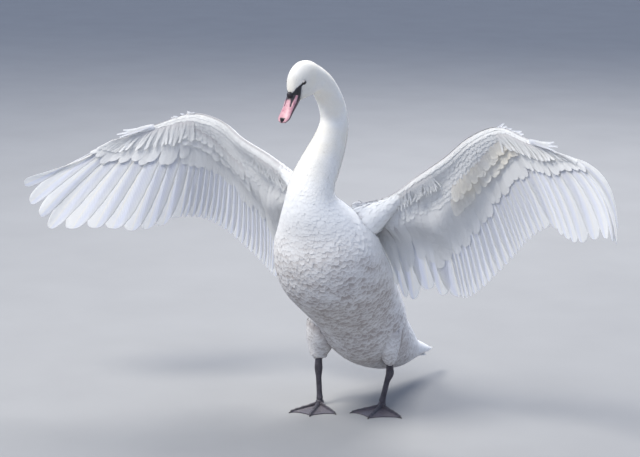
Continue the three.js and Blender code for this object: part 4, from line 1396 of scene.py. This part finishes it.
# the knob and the nail: along the bill from its base or tip, up from its axis, radii, lumps
billShape = {
    "base": (0, -366, 998), "tip": (0, -421, 935), "gap": 4.4, "rings": 90, "sides": 64,
    "knob": {"along": 3, "up": 17, "radii": (9, 9, 11.5), "lump": 0.05},
    "nail": {"along": -6.5, "up": 2.4, "radii": (7.4, 3.8, 9.4), "lump": 0.02}, "lumpTilt": 0.8,
}
# half length as a share of the bill's, angle, its spread, height
nostril = {"at": 0.27, "slit": (0.13, 52, 13, -1.9), "brim": (0.17, 30, 10, 0.6)}
billBase = np.array(billShape["base"], float)
billTip = np.array(billShape["tip"], float)
billAlong = unit(billTip - billBase)
billUp = np.array([0, billAlong[2], -billAlong[1]])


def nostrilRelief(share, angle):  # a long slit on each side with a raised brim over it
    fromMiddle = share - nostril["at"]
    return sum(height * np.exp(-((fromMiddle / length) ** 2) - (((angle - middle) / spread) ** 2))
               for length, middle, spread, height in (nostril["slit"], nostril["brim"]))


# ends as shares of the bill's length, heights as angles in degrees from the bill's edge up to its ridge
blacks = {"collarEnd": 0.13, "saddle": (60, 72), "saddleEnd": 0.2, "tongue": 54, "tongueEnd": 0.46,
          "wedgeTop": 40, "nail": (60, 67), "nailStart": (0.83, 0.87)}


def blackMarks(share, angle, s):  # s is the height round the bill, from -1 to 1
    collar = smooth(blacks["collarEnd"] - share + 0.05 * np.sin(np.radians(angle * 3)), -0.03, 0.03)
    saddle = smooth(angle, *blacks["saddle"]) * smooth(blacks["saddleEnd"] - share, -0.05, 0.05)
    tongue = np.exp(-(((angle - blacks["tongue"]) / (19 - 22 * share.clip(0, 0.5))) ** 2) * 1.5)
    tongue = smooth(tongue * smooth(blacks["tongueEnd"] - share, -0.02, 0.1), 0.24, 0.48)
    edge = smooth(np.abs(s) * (s < 0) + (np.abs(s) < 0.12) * 0.5, 0.2, 0.5) * 0.9
    # the pink of the side runs back through the collar
    wedge = smooth(angle - 4 - 55 * np.clip(0.14 - share, 0, 1), 0, 8)
    wedge = wedge * smooth(blacks["wedgeTop"] - angle, -4, 6)
    nail = smooth(share, *blacks["nailStart"]) * smooth(angle, *blacks["nail"])
    marks = [collar * (1 - wedge), saddle, tongue, edge, nail]
    return np.maximum.reduce([mark + 0 * angle for mark in marks]).clip(0, 1)


def billHalf(half, drop):
    rows = billHalves[half]
    share = np.linspace(rows[0][0], rows[-1][0], billShape["rings"])[:, None]
    width, above, below = np.moveaxis(sampled(rows, share[:, 0]), -1, 0)[..., None]
    turn = around(billShape["sides"])[None, :]
    c, s = np.cos(turn), np.sin(turn)
    ridge = mix(1.25, 0.9, smooth(share, 0.2, 0.8)) if half == "Upper" else 1.0
    rise = np.where(s >= 0, above * np.abs(s) ** ridge, -below * np.abs(s))
    x = width * np.sign(c) * np.abs(c) ** 0.9
    if half == "Upper":
        angle = np.degrees(np.arctan2(rise / above, np.abs(x) / width))
        hollow = nostrilRelief(share, angle)
        dark = blackMarks(share, angle, s)
    else:
        hollow = 0 * rise
        dark = 0.85 * smooth(1.1 - share, 0, 0.2) + hollow
    middle = mix(billBase, billTip, share) - billUp * drop
    rings = middle[:, None, :] + (rise + hollow * s)[..., None] * billUp
    rings[..., 0] += x + c * hollow
    piece = solidPiece("bill" + half, closedForm(rings), "pinkHorn", "bill_pink", "bill_" + half.lower())
    addAttribute(piece, "dark", np.concatenate([dark.ravel(), [1.0, 0.0]]))


def billLump(part, start, seed):
    lump = billShape[part]
    random = np.random.default_rng(seed)
    rings = ellipsoidRings((0, 0, 0), lump["radii"], billShape["lumpTilt"], 48)
    push = np.zeros(rings.shape[:2])
    for _ in range(5):
        wave = random.normal(size=3) * 0.35
        push += np.sin(rings @ wave + random.random() * full)
    centre = start + billAlong * lump["along"] + billUp * lump["up"]
    mesh = closedForm(rings * (1 + lump["lump"] * push / 5)[..., None] + centre)
    piece = solidPiece("bill" + part.capitalize(), mesh, "blackHorn", "bill_black", "bill_" + part)
    addAttribute(piece, "dark", np.ones(len(piece.data.vertices)))


billHalf("Upper", 0)
billHalf("Lower", billShape["gap"])
billLump("knob", billBase, 71)
billLump("nail", billTip, 72)
print("bill made")

# ---- eyes and their lids

lid = {"length": 60, "height": 23, "power": 1.6, "thick": 1.0, "outward": (1.0, -0.22, 0.03),
       "fore": (0, -0.8, -0.6)}
# polar angle beyond the opening's edge in degrees, and distance from the eye's centre
lidProfile = [(-3, 6.1), (-1, 6.8), (4, 7.1), (14, 7.15), (28, 7.0), (46, 6.8), (66, 6.6), (88, 6.5)]


def lidOpening(turn):  # polar angle of the opening's edge, a long pointed oval
    power = lid["power"]
    oval = (np.abs(np.cos(turn)) / lid["length"]) ** power + (np.abs(np.sin(turn)) / lid["height"]) ** power
    return 1 / oval ** (1 / power)


def eyeParts(name):
    centre = np.array([eye["x"], eye["y"], eye["z"]]) * sided(name)
    out = unit(np.array(lid["outward"]) * sided(name))
    fore = np.array(lid["fore"])
    fore = unit(fore - out * (fore @ out))
    up = np.cross(out, fore) * sideSign[name]
    turn = around(48)[None, :]
    sidewards = np.cos(turn)[..., None] * fore + np.sin(turn)[..., None] * up

    def rings(polar, radius):
        outwards = np.cos(polar)[..., None] * out * eye["flat"]
        return centre + np.asarray(radius)[..., None] * (outwards + np.sin(polar)[..., None] * sidewards)

    polar = np.linspace(0.01, math.pi - 0.01, 40)[:, None] + 0 * turn
    bulge = eye["radius"] * (1 + 0.05 * np.exp(-((polar / 0.5) ** 2)))
    mesh = closedForm(rings(polar, bulge))
    ball = solidPiece("eyeball" + name.capitalize(), mesh, "eye", "eye", "eye_" + name)
    addAttribute(ball, "iris", np.concatenate([(polar / 0.95).clip(0, 1).ravel(), [0, 1]]))

    opening = lidOpening(turn)
    outer, inner = ([rings(np.radians(opening + extra), radius - less)[0] for extra, radius in lidProfile]
                    for less in (0, lid["thick"]))
    mesh = closedForm(outer + inner[::-1] + outer[:1], closedEnds=False)
    rework(mesh, lambda work: bmesh.ops.remove_doubles(work, verts=work.verts, dist=1e-7))
    piece = solidPiece("eyelid" + name.capitalize(), mesh, "skin", "plumage")
    p = pointsOf(piece) - centre
    flat = p - (p @ out)[:, None] * out
    polarNow = np.degrees(np.arctan2(np.linalg.norm(flat, axis=1), p @ out / eye["flat"]))
    turnNow = np.arctan2(flat @ up, flat @ fore)
    rim = smooth(lidOpening(turnNow) + 13 - polarNow, -3, 3)
    corner = smooth(0.75 - np.abs(np.sin(turnNow)), -0.12, 0.12) * (np.cos(turnNow) > 0)  # towards the bill
    # the lid's black rim and front corner are bare skin; the grey floor of 0.5 on the rest is painted
    # half-shade, so the lid looks like the plumage beside it
    addAttribute(piece, "dark", np.maximum(np.maximum(rim, corner), 0.5))


for name in sideSign:
    eyeParts(name)
print("eyes made")

# ---- claws

claw = {"length": 10, "seam": 2, "halfWidth": 3.1, "height": 6.0, "taper": 0.85, "sides": 24, "darkTip": 0.6}


def clawPiece(side, toeName, degrees):
    way = heading(degrees)
    start = np.array(legs[side]["sole"], float) + way * (toeSizes[toeName][0] - claw["seam"])
    t, turn = np.linspace(0, 1, claw["sides"])[:, None], around(claw["sides"])[None, :]
    half = claw["halfWidth"] * (1 - t ** 1.6 * claw["taper"])
    height = claw["height"] * (1 - t ** 1.4 * claw["taper"])
    reach = t * (claw["length"] + claw["seam"])
    rings = start + reach[..., None] * way + (half * np.cos(turn))[..., None] * sideways(way)
    rings[..., 2] += height * (0.5 + 0.5 * np.sin(turn))
    piece = solidPiece(f"claw{side.capitalize()}{toeName.capitalize()}", closedForm(rings), "claw", "claw",
                       f"claw_{side}_{toeName}")
    dark = smooth(t[:, 0], 0.2, 1.0) * claw["darkTip"]
    addAttribute(piece, "dark", np.concatenate([np.repeat(dark, claw["sides"]), [0.0, claw["darkTip"]]]))


for side, leg in legs.items():
    for toeName, degrees in leg["toes"].items():
        clawPiece(side, toeName, degrees)
print("claws made")

# ---- floor, light and camera

studio = {
    "floorColour": (0.27, 0.272, 0.275), "floorSize": 60.0, "world": (0.63, 0.74, 1.0), "worldPower": 0.82,
    "aim": (0, -0.1, 0.65),
    "key": {"from": (-1.9, -3.3, 6.1), "size": 2.4, "power": 470, "colour": (1.0, 0.96, 0.88)},
    "fill": {"from": (3.6, -4.8, 2.6), "size": 4.0, "power": 25, "colour": (0.88, 0.93, 1.0)},
    "back": {"from": (-1.5, 4.4, 5.0), "size": 3.0, "power": 360, "colour": (1.0, 0.97, 0.93)},
}
camera = {
    "from": (3.2134, -5.0082, 1.850), "towards": (-0.5452, 0.8108, -0.2129), "lens": 113.23, "sensor": 36.0,
}


def buildFloor():
    half = studio["floorSize"] / 2 / mm
    corners = [[-half, -half, 0], [half, -half, 0], [half, half, 0], [-half, half, 0]]
    base = studio["floorColour"]
    material, tree, shader = newMaterial("studioFloor", base, 0.85)
    tone = ramp(tree, noise(tree, objectPlace(tree), 3.0), (0.3, base), (0.7, tuple(v * 1.06 for v in base)))
    feed(tree, shader, Base_Color=tone)
    makeMesh("studioFloor", corners, [[0, 1, 2, 3]], material)


def aimed(made, place, way):
    made.location = place
    made.rotation_euler = Vector(way).to_track_quat("-Z", "Y").to_euler()
    return made


def addLight(name, light):
    data = bpy.data.lights.new(name, "AREA")
    data.size = light["size"]
    data.energy = light["power"]
    data.color = light["colour"]
    aimed(addObject(name, data), light["from"], Vector(studio["aim"]) - Vector(light["from"]))


def buildCamera():
    data = bpy.data.cameras.new("camera")
    data.lens = camera["lens"]
    data.sensor_width = camera["sensor"]
    data.sensor_fit = "HORIZONTAL"
    data.clip_end = 200
    bpy.context.scene.camera = aimed(addObject("camera", data), camera["from"], camera["towards"])


def buildWorld():
    world = bpy.data.worlds.new("studio")
    world.use_nodes = True
    background = world.node_tree.nodes["Background"]
    background.inputs["Color"].default_value = (*studio["world"], 1)
    background.inputs["Strength"].default_value = studio["worldPower"]
    bpy.context.scene.world = world
    bpy.context.scene.view_settings.view_transform = "Standard"


buildFloor()
for lightName in ("key", "fill", "back"):
    addLight(lightName + "Light", studio[lightName])
buildCamera()
buildWorld()

bpy.context.view_layer.update()
